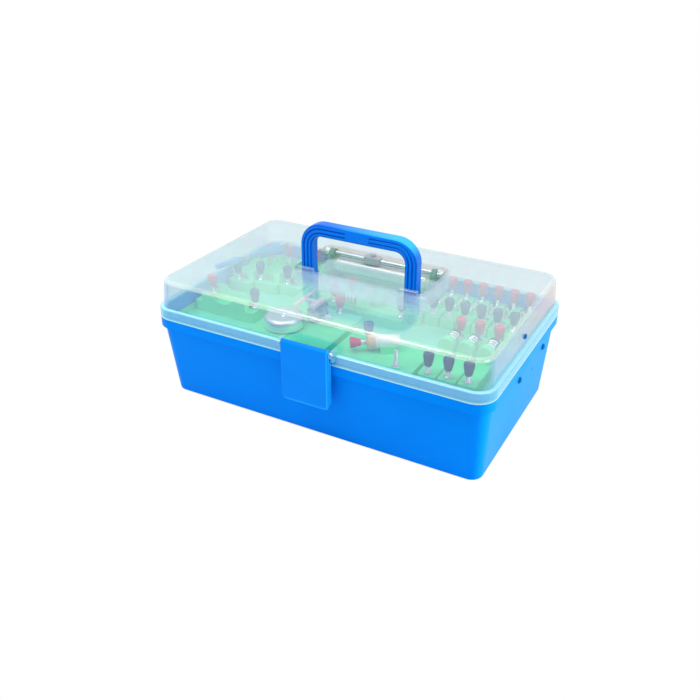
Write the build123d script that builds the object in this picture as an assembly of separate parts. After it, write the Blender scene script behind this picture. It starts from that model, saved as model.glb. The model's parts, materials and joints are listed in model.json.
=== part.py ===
from build123d import *

import math
import os

# Electricity experiment kit: a blue carrying case with a clear hinged lid,
# a folding handle and a front latch, packed with small circuit modules.
# X runs along the case, the latch side faces -Y and +Z is up. The origin is the
# middle of the footprint, on the surface the case stands on. Sizes in millimetres.

# Case, overall
CASE_LENGTH = 360.0
CASE_DEPTH = 220.0
CASE_HEIGHT = 130.0
RIM_CORNER_R = 20.0

# Base box
BASE_WALL = 2.4
BASE_FOOT_INSET_X = 8.0
BASE_FOOT_INSET_Y = 14.0
BASE_SHOULDER_INSET = 3.5
BASE_FOOT_R = 12.0
RIM_BOTTOM_Z = 80.0
RIM_BAND = 9.5
TONGUE_HEIGHT = 9.0
VENT_HOLE_R = 1.7
VENT_HOLE_PLACES = ((62.0, 66.0), (-12.0, 65.5))
WALL_DIMPLE = (34.7, 53.6)
WALL_DIMPLE_R = 1.3

# Lid
LID_WALL = 2.0
LID_GAP = 0.3
SKIRT_HEIGHT = 10.9
DOME_INSET = 4.0
DOME_TAPER = 2.2
DOME_CORNER_R = 16.0
DOME_EDGE_R = 6.0

# Handle and its well in the lid
HANDLE_SPAN = 129.0
HANDLE_BAR = 13.0
HANDLE_THICK = 14.0
HANDLE_RISE = 49.5
HANDLE_CORNER_R = 24.0
HANDLE_EDGE_R = 2.6
HANDLE_Y = -2.0
GROOVE_WIDTH = 1.6
GROOVE_DEPTH = 0.9
GROOVE_SPREAD = 4.2
GROOVE_STOP_X = 13.0
POST_HEADROOM = 2.0
WELL_SIDE_GAP = 7.5
WELL_FRONT_GAP = 3.5
WELL_BACK_GAP = 4.5
WELL_CORNER_R = 8.0
PIVOT_PIN_R = 2.0
PIVOT_BOSS_R = 5.5
PIVOT_BOSS_GAP = 0.7
FOOT_LIP_WIDTH = 20.0
FOOT_LIP_RISE = 2.8
FOOT_LIP_DEPTH = 4.4
FOOT_LIP_GAP = 0.8
PIN_CLEARANCE = 0.05

# Latch
LATCH_X = 4.0
LATCH_WIDTH = 51.0
LATCH_BOTTOM_Z = 45.0
LATCH_AXIS_RISE = 2.5
LATCH_AXIS_OUT = 4.0
LATCH_BARREL_R = 3.7
LATCH_PLATE = 2.3
LATCH_CORNER_R = 5.0
LATCH_PIN_R = 1.5
LATCH_EAR_WIDTH = 3.0
LATCH_EAR_GAP = 0.4
LATCH_RIB = 2.0
LATCH_CATCH_GAP = 0.4
LATCH_CATCH_DROP = 0.4

# Rear hinges
HINGE_X = 110.0
HINGE_KNUCKLE_R = 3.6
HINGE_PIN_R = 1.5
HINGE_CLEARANCE = 0.5
LID_KNUCKLE_LENGTH = 14.0
BASE_KNUCKLE_LENGTH = 9.0
KNUCKLE_SIDE_GAP = 0.4

# Lift-out tray that carries the modules
LEDGE_DROP = 5.0
LEDGE_HEIGHT = 3.0
LEDGE_WIDTH = 5.0
TRAY_FLOOR = 2.0
TRAY_WALL = 1.6
TRAY_HEIGHT = 9.0
TRAY_GAP = 1.2
TRAY_CORNER_R = 12.0
TRAY_FINGER_R = 11.0

# Terminal posts, shared by every module
POST_RISE = 21.0
KNOB_HEIGHT = 12.5
KNOB_TOP_R = 5.0
KNOB_FOOT_R = 3.5
STUD_R = 2.0
STUD_COLLAR_R = 4.0
STUD_COLLAR_HEIGHT = 2.5
STUD_CLEARANCE = 0.05

# Module bases
MODULE_HEIGHT = 11.0
MODULE_WALL = 1.6
MODULE_ROOF = 2.5
MODULE_CORNER_R = 2.5

# Lamp holders: the first three stand along Y, the last two lie along X
LAMP_WIDTH = 18.0
LAMP_LENGTH = 87.0
LAMP_POST_INSET = 4.5
LAMP_STANDING = ((109.5, -38.0), (128.5, -37.5), (147.5, -37.0))
LAMP_LYING = ((13.0, 31.5), (1.5, 12.5))
SOCKET_BORE_R = 4.3
SOCKET_WALL = 0.6
SOCKET_LENGTH = 19.0
SOCKET_RISE = 9.0
SOCKET_OFFSET = 9.0
SOCKET_THREADS = 4
SOCKET_THREAD_RISE = 0.6
PEDESTAL_LENGTH = 9.0

# Short modules: three fixed resistors, then three knife switches
SHORT_WIDTH = 16.0
SHORT_LENGTH = 62.0
SHORT_POST_INSET = 5.5
SHORT_PITCH = 17.1
SHORT_FIRST_X = 66.0
SHORT_Y = 61.5
RESISTOR_R = 2.7
RESISTOR_LENGTH = 20.0
RESISTOR_RISE = 4.5
BLADE_LENGTH = 20.0
BLADE_THICK = 1.2
BLADE_WIDTH = 5.0
BLADE_RISE = 7.5
BLADE_PIVOT_R = 1.2
JAW_GAP = 0.35
JAW_THICK = 0.8
JAW_WIDTH = 6.0
SWITCH_GRIP_R = 2.6
SWITCH_GRIP_LENGTH = 8.0

# Battery holders: three stand along Y, the last lies along X
HOLDER_SIDE = 1.25
HOLDER_LENGTH = 74.0
HOLDER_HEIGHT = 22.0
HOLDER_WALL = 1.2
HOLDER_BLOCK = 10.0
CELL_R = 13.0
HOLDER_GAP = 0.5
HOLDER_LAST_X = -98.5
HOLDER_STANDING_Y = (43.0, 51.4, 57.0)
HOLDER_STANDING_POSTS = (((-3.5, 5.6), (0.0, 5.6)), ((-9.6, 7.4), (-9.6, 7.4)), ((-5.5, 5.6), (-5.5, 5.6)))
HOLDER_LYING = (-133.0, -41.0)
HOLDER_LYING_POSTS = ((-9.6, 7.0), (0.0, 5.6))
CONTACT_THICK = 0.6
CONTACT_WIDTH = 10.0

# Bell
BELL_BASE = (-82.0, 6.0, -94.0, -4.0)
BELL_ARM = (-82.0, -46.0, -9.0, 38.0)
BELL_POSTS = ((-67.0, 26.0), (-18.0, -10.0))
GONG_CENTRE = (-54.0, -60.0)
GONG_R = 20.0
GONG_HEIGHT = 12.0
GONG_WALL = 1.2
GONG_RISE = 13.0
GONG_POST_R = 3.5
COIL_CENTRES = ((-33.0, -37.0), (-33.0, -21.5))
COIL_R = 5.8
COIL_FLANGE = 1.0
COIL_HEIGHT = 11.0
COIL_CORE_R = 2.2
YOKE_THICK = 2.0
STRIKER_X = -49.5
STRIKER_PIVOT_Y = -9.5
STRIKER_PIN_R = 1.2
STRIKER_WIDTH = 4.5
STRIKER_THICK = 1.2
STRIKER_RISE = 18.0
STRIKER_BALL_R = 1.9
STRIKER_BALL_GAP = 0.9
ARMATURE_GAP = 0.8
CONTACT_POST_PLACE = (-14.0, -41.0)
CONTACT_POST_R = 4.2

# Slide rheostat
RHEOSTAT_Y = 87.0
RHEOSTAT_LEFT_X = -83.5
RHEOSTAT_RIGHT_X = 48.0
RHEOSTAT_RISE = 20.0
RHEOSTAT_TUBE_R = 8.3
RHEOSTAT_BORE_R = 5.5
RHEOSTAT_PLATE = 6.0
RHEOSTAT_PLATE_MARGIN = 2.2
RHEOSTAT_ROD_GAP = 4.7
RHEOSTAT_ROD_R = 2.2
RHEOSTAT_TOP_MARGIN = 4.0
RHEOSTAT_NUT_R = 4.6
RHEOSTAT_NUT_LENGTH = 7.5
SLIDER_X = -30.0
SLIDER_LENGTH = 20.0
SLIDER_WIDTH = 10.0

# Motor, which lies askew in its clip
MOTOR_BASE = (12.0, 97.0, -94.0, -38.0)
MOTOR_CENTRE = (58.0, -55.5)
MOTOR_TURN = 32.0
MOTOR_RISE = 9.0
MOTOR_R = 6.6
MOTOR_LENGTH = 24.0
MOTOR_CAP_LENGTH = 7.0
MOTOR_SHAFT_R = 1.0
HUB_GAP = 5.0
HUB_LENGTH = 11.0
HUB_BIG_R = 5.6
HUB_SMALL_R = 3.4
MOTOR_POST_PLACES = ((35.5, -50.0), (80.0, -82.0))

# Crocodile clips in blue boots, laid end to end across the posts
CLIP_FRONT_END = (-168.5, -16.5)
CLIP_FRONT_TIP = (-153.3, 26.2)
CLIP_BACK_START = (-152.7, 27.8)
CLIP_BACK_END = (-135.0, 79.5)
CLIP_SLEEVE_R = 2.8
CLIP_GRIP_WIDTH = 10.0
CLIP_GRIP_HEIGHT = 8.0
CLIP_JAW_WIDTH = 5.0
CLIP_JAW_THICK = 5.6

# Worked out from the sizes above
HALF_L = CASE_LENGTH / 2
HALF_D = CASE_DEPTH / 2
RIM_TOP_Z = RIM_BOTTOM_Z + RIM_BAND
TONGUE_TOP_Z = RIM_TOP_Z + TONGUE_HEIGHT
SKIRT_BOTTOM_Z = RIM_TOP_Z + LID_GAP
SKIRT_TOP_Z = SKIRT_BOTTOM_Z + SKIRT_HEIGHT
LEDGE_Z = RIM_BOTTOM_Z - LEDGE_DROP
FLOOR_Z = LEDGE_Z + TRAY_FLOOR
MODULE_TOP_Z = FLOOR_Z + MODULE_HEIGHT
POST_TOP_Z = MODULE_TOP_Z + POST_RISE
WELL_FLOOR_Z = POST_TOP_Z + POST_HEADROOM + LID_WALL
PIVOT_Z = WELL_FLOOR_Z + HANDLE_THICK / 2 + 0.5
HANDLE_TOP_Z = CASE_HEIGHT + HANDLE_RISE
WELL_HALF_X = HANDLE_SPAN / 2 + WELL_SIDE_GAP
WELL_FRONT_Y = HANDLE_Y - HANDLE_THICK / 2 - WELL_FRONT_GAP
WELL_BACK_Y = HANDLE_Y + HANDLE_TOP_Z - PIVOT_Z + WELL_BACK_GAP
LATCH_AXIS_Y = -HALF_D - LATCH_AXIS_OUT
LATCH_AXIS_Z = SKIRT_TOP_Z + LATCH_AXIS_RISE
HINGE_Y = HALF_D + HINGE_KNUCKLE_R + HINGE_CLEARANCE
HINGE_Z = RIM_TOP_Z + LID_GAP / 2
LAMP_POST_SPAN = LAMP_LENGTH - 2 * LAMP_POST_INSET
SOCKET_R = SOCKET_BORE_R + SOCKET_WALL
SOCKET_AXIS_Z = MODULE_TOP_Z + SOCKET_RISE
SHORT_POST_SPAN = SHORT_LENGTH - 2 * SHORT_POST_INSET
RESISTOR_AXIS_Z = MODULE_TOP_Z + RESISTOR_RISE
BLADE_AXIS_Z = MODULE_TOP_Z + BLADE_RISE
HOLDER_WIDTH = 2 * (CELL_R + HOLDER_SIDE)
HOLDER_PITCH = HOLDER_WIDTH + HOLDER_GAP
GONG_TOP_Z = MODULE_TOP_Z + GONG_RISE
STRIKER_Z = MODULE_TOP_Z + STRIKER_RISE
RHEOSTAT_AXIS_Z = FLOOR_Z + RHEOSTAT_RISE
RHEOSTAT_PLATE_WIDTH = 2 * (RHEOSTAT_TUBE_R + RHEOSTAT_PLATE_MARGIN)
RHEOSTAT_ROD_Z = RHEOSTAT_AXIS_Z + RHEOSTAT_TUBE_R + RHEOSTAT_ROD_GAP
RHEOSTAT_TOP_Z = RHEOSTAT_ROD_Z + RHEOSTAT_TOP_MARGIN
MOTOR_AXIS_Z = MODULE_TOP_Z + MOTOR_RISE
CLIP_AXIS_Z = POST_TOP_Z + CLIP_SLEEVE_R


def block(x0, x1, y0, y1, z0, z1):
    """A box between two corners."""
    return Pos((x0 + x1) / 2, (y0 + y1) / 2, (z0 + z1) / 2) * Box(x1 - x0, y1 - y0, z1 - z0)


def rounded(length, depth, radius, z):
    """A rounded rectangle centred on the origin, at height z."""
    return Pos(0, 0, z) * RectangleRounded(length, depth, radius)


def slab(length, depth, radius, z0, z1):
    """A prism on a rounded rectangle."""
    return extrude(rounded(length, depth, radius, z0), z1 - z0)


def rod_x(x0, x1, y, z, radius):
    """A cylinder along X."""
    return Pos((x0 + x1) / 2, y, z) * Rot(0, 90, 0) * Cylinder(radius, x1 - x0)


def rod_y(x, y0, y1, z, radius):
    """A cylinder along Y."""
    return Pos(x, (y0 + y1) / 2, z) * Rot(90, 0, 0) * Cylinder(radius, y1 - y0)


def rod_z(x, y, z0, z1, radius):
    """A cylinder along Z."""
    return Pos(x, y, (z0 + z1) / 2) * Cylinder(radius, z1 - z0)


def turned(points):
    """A solid turned about Z from (radius, height) points."""
    return revolve(Plane.XZ * make_face(Polyline(*points, close=True)), Axis.Z)


def save(shape, name):
    """Writes one sub-part."""
    export_step(shape, f"parts/{name}.step")


def group(shapes, name):
    """Writes like pieces as separate solids of one sub-part."""
    export_step(Compound(children=list(shapes)), f"parts/{name}.step")


def wall_size(z):
    """Outer length and depth of the base wall at height z."""
    share = z / RIM_BOTTOM_Z
    foot_l = CASE_LENGTH - 2 * BASE_FOOT_INSET_X
    foot_d = CASE_DEPTH - 2 * BASE_FOOT_INSET_Y
    top_l = CASE_LENGTH - 2 * BASE_SHOULDER_INSET
    top_d = CASE_DEPTH - 2 * BASE_SHOULDER_INSET
    return foot_l + (top_l - foot_l) * share, foot_d + (top_d - foot_d) * share


def base_box():
    foot_l, foot_d = wall_size(0)
    top_l, top_d = wall_size(RIM_BOTTOM_Z)
    top_r = RIM_CORNER_R - BASE_SHOULDER_INSET
    outer = loft([rounded(foot_l, foot_d, BASE_FOOT_R, 0), rounded(top_l, top_d, top_r, RIM_BOTTOM_Z)])
    outer = fillet(outer.edges().group_by(Axis.Z)[0], 2.0)
    outer += slab(CASE_LENGTH, CASE_DEPTH, RIM_CORNER_R, RIM_BOTTOM_Z, RIM_TOP_Z)
    outer += slab(top_l, top_d, top_r, RIM_TOP_Z, TONGUE_TOP_Z)
    low_l, low_d = wall_size(BASE_WALL)
    inner = loft([
        rounded(low_l - 2 * BASE_WALL, low_d - 2 * BASE_WALL, BASE_FOOT_R - BASE_WALL, BASE_WALL),
        rounded(top_l - 2 * BASE_WALL, top_d - 2 * BASE_WALL, top_r - BASE_WALL, RIM_BOTTOM_Z),
    ])
    inner += slab(top_l - 2 * BASE_WALL, top_d - 2 * BASE_WALL, top_r - BASE_WALL, RIM_BOTTOM_Z, TONGUE_TOP_Z + 1)
    ledge_l, ledge_d = wall_size(LEDGE_Z)
    ledge_r = top_r - BASE_WALL
    ledge = slab(ledge_l - BASE_WALL, ledge_d - BASE_WALL, ledge_r, LEDGE_Z - LEDGE_HEIGHT, LEDGE_Z)
    inset = 2 * (BASE_WALL + LEDGE_WIDTH)
    ledge -= slab(ledge_l - inset, ledge_d - inset, ledge_r - LEDGE_WIDTH, LEDGE_Z - LEDGE_HEIGHT - 1, LEDGE_Z + 1)
    box = outer - inner + ledge
    for y, z in VENT_HOLE_PLACES:
        box -= rod_x(HALF_L - 20, HALF_L + 5, y, z, VENT_HOLE_R)
    y, z = WALL_DIMPLE
    outer_x = wall_size(z)[0] / 2
    box -= rod_x(outer_x - 0.8, outer_x + 5, y, z, WALL_DIMPLE_R)
    for side in (-1, 1):
        for end in (-1, 1):
            mid = side * HINGE_X + end * (LID_KNUCKLE_LENGTH / 2 + KNUCKLE_SIDE_GAP + BASE_KNUCKLE_LENGTH / 2)
            x0, x1 = mid - BASE_KNUCKLE_LENGTH / 2, mid + BASE_KNUCKLE_LENGTH / 2
            knuckle = rod_x(x0, x1, HINGE_Y, HINGE_Z, HINGE_KNUCKLE_R)
            knuckle += block(x0, x1, HALF_D - 1, HINGE_Y, HINGE_Z - HINGE_KNUCKLE_R, RIM_TOP_Z)
            box += knuckle
            box -= rod_x(x0 - 1, x1 + 1, HINGE_Y, HINGE_Z, HINGE_PIN_R + PIN_CLEARANCE)
    return box


def lid():
    base_l, base_d = CASE_LENGTH - 2 * DOME_INSET, CASE_DEPTH - 2 * DOME_INSET
    top_l, top_d = base_l - 2 * DOME_TAPER, base_d - 2 * DOME_TAPER
    dome = loft([
        rounded(base_l, base_d, DOME_CORNER_R, SKIRT_TOP_Z - LID_WALL),
        rounded(top_l, top_d, DOME_CORNER_R, CASE_HEIGHT),
    ])
    dome = fillet(dome.edges().group_by(Axis.Z)[-1], DOME_EDGE_R)
    flange = slab(CASE_LENGTH, CASE_DEPTH, RIM_CORNER_R, SKIRT_BOTTOM_Z, SKIRT_TOP_Z)
    flange = fillet(flange.edges().group_by(Axis.Z)[-1], 1.5)
    flange -= slab(CASE_LENGTH - 2 * LID_WALL, CASE_DEPTH - 2 * LID_WALL, RIM_CORNER_R - LID_WALL,
                   SKIRT_BOTTOM_Z - 1, SKIRT_TOP_Z - LID_WALL)
    cavity = loft([
        rounded(base_l - 2 * LID_WALL, base_d - 2 * LID_WALL, DOME_CORNER_R - LID_WALL, SKIRT_TOP_Z - LID_WALL),
        rounded(top_l - 2 * LID_WALL, top_d - 2 * LID_WALL, DOME_CORNER_R - LID_WALL, CASE_HEIGHT - LID_WALL),
    ])
    cavity = fillet(cavity.edges().group_by(Axis.Z)[-1], DOME_EDGE_R - LID_WALL)
    well_y = (WELL_FRONT_Y + WELL_BACK_Y) / 2
    well_d = WELL_BACK_Y - WELL_FRONT_Y
    bowl = Pos(0, well_y, 0) * slab(2 * (WELL_HALF_X + LID_WALL), well_d + 2 * LID_WALL,
                                    WELL_CORNER_R + LID_WALL, WELL_FLOOR_Z - LID_WALL, CASE_HEIGHT - 0.5)
    pocket = Pos(0, well_y, 0) * slab(2 * WELL_HALF_X, well_d, WELL_CORNER_R, WELL_FLOOR_Z, CASE_HEIGHT + 1)
    shell = (dome + flange) - (cavity - bowl) - pocket
    lip_back = HANDLE_Y - HANDLE_THICK / 2 - FOOT_LIP_GAP
    for side in (-1, 1):
        mid = side * (HANDLE_SPAN - HANDLE_BAR) / 2
        lip = block(mid - FOOT_LIP_WIDTH / 2, mid + FOOT_LIP_WIDTH / 2, lip_back - FOOT_LIP_DEPTH, lip_back,
                    WELL_FLOOR_Z, CASE_HEIGHT + FOOT_LIP_RISE)
        lip = fillet(lip.edges().group_by(Axis.Z)[-1], 1.2)
        shell += lip
    for side in (-1, 1):
        x_in = HANDLE_SPAN / 2 + PIVOT_BOSS_GAP
        x_out = WELL_HALF_X + 0.5
        shell += rod_x(min(side * x_in, side * x_out), max(side * x_in, side * x_out), HANDLE_Y, PIVOT_Z, PIVOT_BOSS_R)
        x_end = WELL_HALF_X + LID_WALL + 1
        shell -= rod_x(min(side * (x_in - 1), side * x_end), max(side * (x_in - 1), side * x_end),
                       HANDLE_Y, PIVOT_Z, PIVOT_PIN_R + PIN_CLEARANCE)
    for side in (-1, 1):
        near = LATCH_X + side * (LATCH_WIDTH / 2 + LATCH_EAR_GAP)
        far = near + side * LATCH_EAR_WIDTH
        x0, x1 = min(near, far), max(near, far)
        ear = rod_x(x0, x1, LATCH_AXIS_Y, LATCH_AXIS_Z, LATCH_BARREL_R)
        ear += block(x0, x1, LATCH_AXIS_Y, -HALF_D + 1, SKIRT_TOP_Z - 5, LATCH_AXIS_Z)
        ear += block(x0, x1, LATCH_AXIS_Y, -HALF_D + DOME_INSET + 1, SKIRT_TOP_Z - 1, LATCH_AXIS_Z + LATCH_BARREL_R)
        shell += ear
        shell -= rod_x(x0 - 1, x1 + 1, LATCH_AXIS_Y, LATCH_AXIS_Z, LATCH_PIN_R + PIN_CLEARANCE)
    for side in (-1, 1):
        x0 = side * HINGE_X - LID_KNUCKLE_LENGTH / 2
        x1 = side * HINGE_X + LID_KNUCKLE_LENGTH / 2
        shell += rod_x(x0, x1, HINGE_Y, HINGE_Z, HINGE_KNUCKLE_R)
        shell += block(x0, x1, HALF_D - 1, HINGE_Y, SKIRT_BOTTOM_Z, HINGE_Z + HINGE_KNUCKLE_R)
        shell -= rod_x(x0 - 1, x1 + 1, HINGE_Y, HINGE_Z, HINGE_PIN_R + PIN_CLEARANCE)
    return shell


def hinge_pins():
    reach = LID_KNUCKLE_LENGTH / 2 + KNUCKLE_SIDE_GAP + BASE_KNUCKLE_LENGTH
    return [rod_x(side * HINGE_X - reach, side * HINGE_X + reach, HINGE_Y, HINGE_Z, HINGE_PIN_R)
            for side in (-1, 1)]


def bow(span, top, radius, foot):
    """The face of an upside-down U in the XZ plane, closed along its foot."""
    half = span / 2
    return make_face([
        Line((-half, foot), (-half, top - radius)),
        RadiusArc((-half, top - radius), (-half + radius, top), radius),
        Line((-half + radius, top), (half - radius, top)),
        RadiusArc((half - radius, top), (half, top - radius), radius),
        Line((half, top - radius), (half, foot)),
        Line((half, foot), (-half, foot)),
    ])


def bow_band(offset, width, foot):
    """A U-shaped strip, width wide, whose outer line lies offset inside the handle's outline."""
    outer = bow(HANDLE_SPAN - 2 * offset, HANDLE_TOP_Z - offset, HANDLE_CORNER_R - offset, foot)
    reach = offset + width
    return outer - bow(HANDLE_SPAN - 2 * reach, HANDLE_TOP_Z - reach, HANDLE_CORNER_R - reach, foot)


def handle():
    front_y = HANDLE_Y - HANDLE_THICK / 2
    grip = Pos(0, HANDLE_Y + HANDLE_THICK / 2, 0) * extrude(Plane.XZ * bow_band(0, HANDLE_BAR, PIVOT_Z), HANDLE_THICK)
    long_edges = [e for e in grip.edges() if e.center().Z > PIVOT_Z + 1 and abs(e.center().Y - HANDLE_Y) > 1]
    grip = fillet(long_edges, HANDLE_EDGE_R)
    for side in (-1, 1):
        x0 = side * (HANDLE_SPAN / 2 - HANDLE_BAR / 2) - HANDLE_BAR / 2
        grip += rod_x(x0, x0 + HANDLE_BAR, HANDLE_Y, PIVOT_Z, HANDLE_THICK / 2)
        grip -= rod_x(x0 - 1, x0 + HANDLE_BAR + 1, HANDLE_Y, PIVOT_Z, PIVOT_PIN_R + PIN_CLEARANCE)
    middle = HANDLE_BAR / 2
    for place in (middle - GROOVE_SPREAD / 2, middle + GROOVE_SPREAD / 2):
        strip = bow_band(place - GROOVE_WIDTH / 2, GROOVE_WIDTH, PIVOT_Z + 8)
        groove = Pos(0, front_y + GROOVE_DEPTH, 0) * extrude(Plane.XZ * strip, GROOVE_DEPTH + 1)
        groove -= block(-GROOVE_STOP_X, GROOVE_STOP_X, front_y - 5, front_y + 5, CASE_HEIGHT, HANDLE_TOP_Z)
        grip -= groove
    return grip


def handle_pins():
    inner = HANDLE_SPAN / 2 - HANDLE_BAR
    outer = WELL_HALF_X + LID_WALL
    return [rod_x(min(side * inner, side * outer), max(side * inner, side * outer), HANDLE_Y, PIVOT_Z, PIVOT_PIN_R)
            for side in (-1, 1)]


def latch():
    """A plate that hangs in front of the rim from a round barrel between the lid's two ears."""
    front_y = LATCH_AXIS_Y - LATCH_BARREL_R
    back_y = front_y + LATCH_PLATE
    half = LATCH_WIDTH / 2
    x0, x1 = LATCH_X - half, LATCH_X + half
    barrel = rod_x(x0, x1, LATCH_AXIS_Y, LATCH_AXIS_Z, LATCH_BARREL_R)
    plate = block(x0, x1, front_y, back_y, LATCH_BOTTOM_Z, LATCH_AXIS_Z)
    low_corners = plate.edges().filter_by(Axis.Y).group_by(Axis.Z)[0]
    plate = fillet(low_corners, LATCH_CORNER_R)
    front_face = plate.faces().sort_by(Axis.Y)[0]
    plate = fillet([e for e in front_face.edges() if e.center().Z < LATCH_AXIS_Z - 1], 0.8)
    body = barrel + plate
    for side in (-1, 1):
        near = LATCH_X + side * (half - 0.2)
        far = near - side * LATCH_RIB
        body += block(min(near, far), max(near, far), back_y - 1, -HALF_D - 1.6, LATCH_BOTTOM_Z + LATCH_CORNER_R, LATCH_AXIS_Z - 8)
    catch_top = RIM_BOTTOM_Z - LATCH_CATCH_DROP
    body += block(x0 + 4, x1 - 4, back_y - 1, -HALF_D - LATCH_CATCH_GAP, catch_top - 3, catch_top)
    return body - rod_x(x0 - 1, x1 + 1, LATCH_AXIS_Y, LATCH_AXIS_Z, LATCH_PIN_R + PIN_CLEARANCE)


def latch_pin():
    reach = LATCH_WIDTH / 2 + LATCH_EAR_GAP + LATCH_EAR_WIDTH
    return rod_x(LATCH_X - reach, LATCH_X + reach, LATCH_AXIS_Y, LATCH_AXIS_Z, LATCH_PIN_R)


def tray():
    wall_l, wall_d = wall_size(LEDGE_Z)
    length = wall_l - 2 * (BASE_WALL + TRAY_GAP)
    depth = wall_d - 2 * (BASE_WALL + TRAY_GAP)
    pan = slab(length, depth, TRAY_CORNER_R, LEDGE_Z, LEDGE_Z + TRAY_HEIGHT)
    pan -= slab(length - 2 * TRAY_WALL, depth - 2 * TRAY_WALL, TRAY_CORNER_R - TRAY_WALL, FLOOR_Z, LEDGE_Z + TRAY_HEIGHT + 1)
    for side in (-1, 1):
        x0 = side * (length / 2 - 2)
        pan -= rod_x(min(x0, x0 + side * 4), max(x0, x0 + side * 4), 0, LEDGE_Z + TRAY_HEIGHT + 4, TRAY_FINGER_R)
    return pan


def module_base(x0, x1, y0, y1, studs, height=MODULE_HEIGHT):
    """A moulded base, open underneath, with a hole under each stud."""
    top = FLOOR_Z + height
    place = Pos((x0 + x1) / 2, (y0 + y1) / 2, 0)
    length, depth = x1 - x0, y1 - y0
    base = slab(length, depth, MODULE_CORNER_R, FLOOR_Z, top)
    base = fillet(base.edges().group_by(Axis.Z)[-1], 1.2)
    base -= slab(length - 2 * MODULE_WALL, depth - 2 * MODULE_WALL, MODULE_CORNER_R - MODULE_WALL / 2,
                 FLOOR_Z - 1, top - MODULE_ROOF)
    base = place * base
    for x, y in studs:
        base -= rod_z(x, y, top - MODULE_ROOF - 1, top + 1, STUD_R + STUD_CLEARANCE)
    return base


def stud(x, y, seat_z):
    """A threaded brass post with its clamping collar, standing through a module's roof."""
    foot = seat_z - MODULE_ROOF - 2
    tip = POST_TOP_Z - 2.5
    post = turned([(0, foot), (STUD_R, foot), (STUD_R, seat_z), (STUD_COLLAR_R, seat_z),
                   (STUD_COLLAR_R, seat_z + STUD_COLLAR_HEIGHT), (STUD_R, seat_z + STUD_COLLAR_HEIGHT),
                   (STUD_R, tip), (0, tip)])
    return Pos(x, y, 0) * post


def knob(x, y):
    """A flared screw cap with a blind bore and a shallow dish on top."""
    foot = POST_TOP_Z - KNOB_HEIGHT
    waist = KNOB_FOOT_R + 0.6
    cap = turned([(0, foot), (KNOB_FOOT_R, foot), (waist, foot + 3.5), (KNOB_TOP_R, POST_TOP_Z - 4),
                  (KNOB_TOP_R, POST_TOP_Z - 1), (KNOB_TOP_R - 1, POST_TOP_Z), (0, POST_TOP_Z)])
    cap -= rod_z(0, 0, foot - 1, POST_TOP_Z - 2.4, STUD_R + STUD_CLEARANCE)
    return Pos(x, y, 0) * cap


def socket_along_y(x, y0):
    """A screw shell for a small lamp, mouth towards +Y, with raised threads."""
    step = SOCKET_LENGTH / (2 * SOCKET_THREADS)
    outer = [(0, 0)]
    for i in range(SOCKET_THREADS):
        outer += [(SOCKET_R, 2 * i * step), (SOCKET_R, (2 * i + 0.8) * step)]
        outer += [(SOCKET_R + SOCKET_THREAD_RISE, (2 * i + 1) * step), (SOCKET_R + SOCKET_THREAD_RISE, (2 * i + 1.5) * step)]
    outer += [(SOCKET_R, SOCKET_LENGTH), (SOCKET_BORE_R, SOCKET_LENGTH), (SOCKET_BORE_R, 1.2), (0, 1.2)]
    return Pos(x, y0, SOCKET_AXIS_Z) * Rot(-90, 0, 0) * turned(outer)


def lamp_base(x, y):
    """A long narrow base along Y with an arched pedestal that carries the socket."""
    half = LAMP_LENGTH / 2
    post = LAMP_POST_SPAN / 2
    base = module_base(x - LAMP_WIDTH / 2, x + LAMP_WIDTH / 2, y - half, y + half, ((x, y - post), (x, y + post)))
    y1 = y + SOCKET_OFFSET
    arch = block(x - LAMP_WIDTH / 2 + 1.5, x + LAMP_WIDTH / 2 - 1.5, y1 - PEDESTAL_LENGTH, y1, MODULE_TOP_Z - 1, SOCKET_AXIS_Z)
    arch += rod_y(x, y1 - PEDESTAL_LENGTH, y1, SOCKET_AXIS_Z, LAMP_WIDTH / 2 - 1.5)
    saddle = block(x - 3, x + 3, y1 - 0.5, y1 + SOCKET_LENGTH, MODULE_TOP_Z - 1, SOCKET_AXIS_Z - SOCKET_R - SOCKET_THREAD_RISE)
    return base + arch + saddle


def short_base(x):
    half = SHORT_LENGTH / 2
    post = SHORT_POST_SPAN / 2
    return module_base(x - SHORT_WIDTH / 2, x + SHORT_WIDTH / 2, SHORT_Y - half, SHORT_Y + half,
                       ((x, SHORT_Y - post), (x, SHORT_Y + post)))


def resistor_base(x):
    """A short base with two cradles for the resistor's ends."""
    base = short_base(x)
    for side in (-1, 1):
        y = SHORT_Y + side * (RESISTOR_LENGTH / 2 - 2)
        base += block(x - 4, x + 4, y - 1.5, y + 1.5, MODULE_TOP_Z - 1, RESISTOR_AXIS_Z)
    return base - rod_y(x, SHORT_Y - RESISTOR_LENGTH / 2, SHORT_Y + RESISTOR_LENGTH / 2, RESISTOR_AXIS_Z, RESISTOR_R)


def resistor_tube(x):
    """A ceramic rod with a metal-capped collar at each end."""
    tube = rod_y(x, SHORT_Y - RESISTOR_LENGTH / 2, SHORT_Y + RESISTOR_LENGTH / 2, RESISTOR_AXIS_Z, RESISTOR_R - 0.4)
    for side in (-1, 1):
        end = SHORT_Y + side * RESISTOR_LENGTH / 2
        tube += rod_y(x, min(end, end - side * 4), max(end, end - side * 4), RESISTOR_AXIS_Z, RESISTOR_R - 0.05)
    return tube


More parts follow.
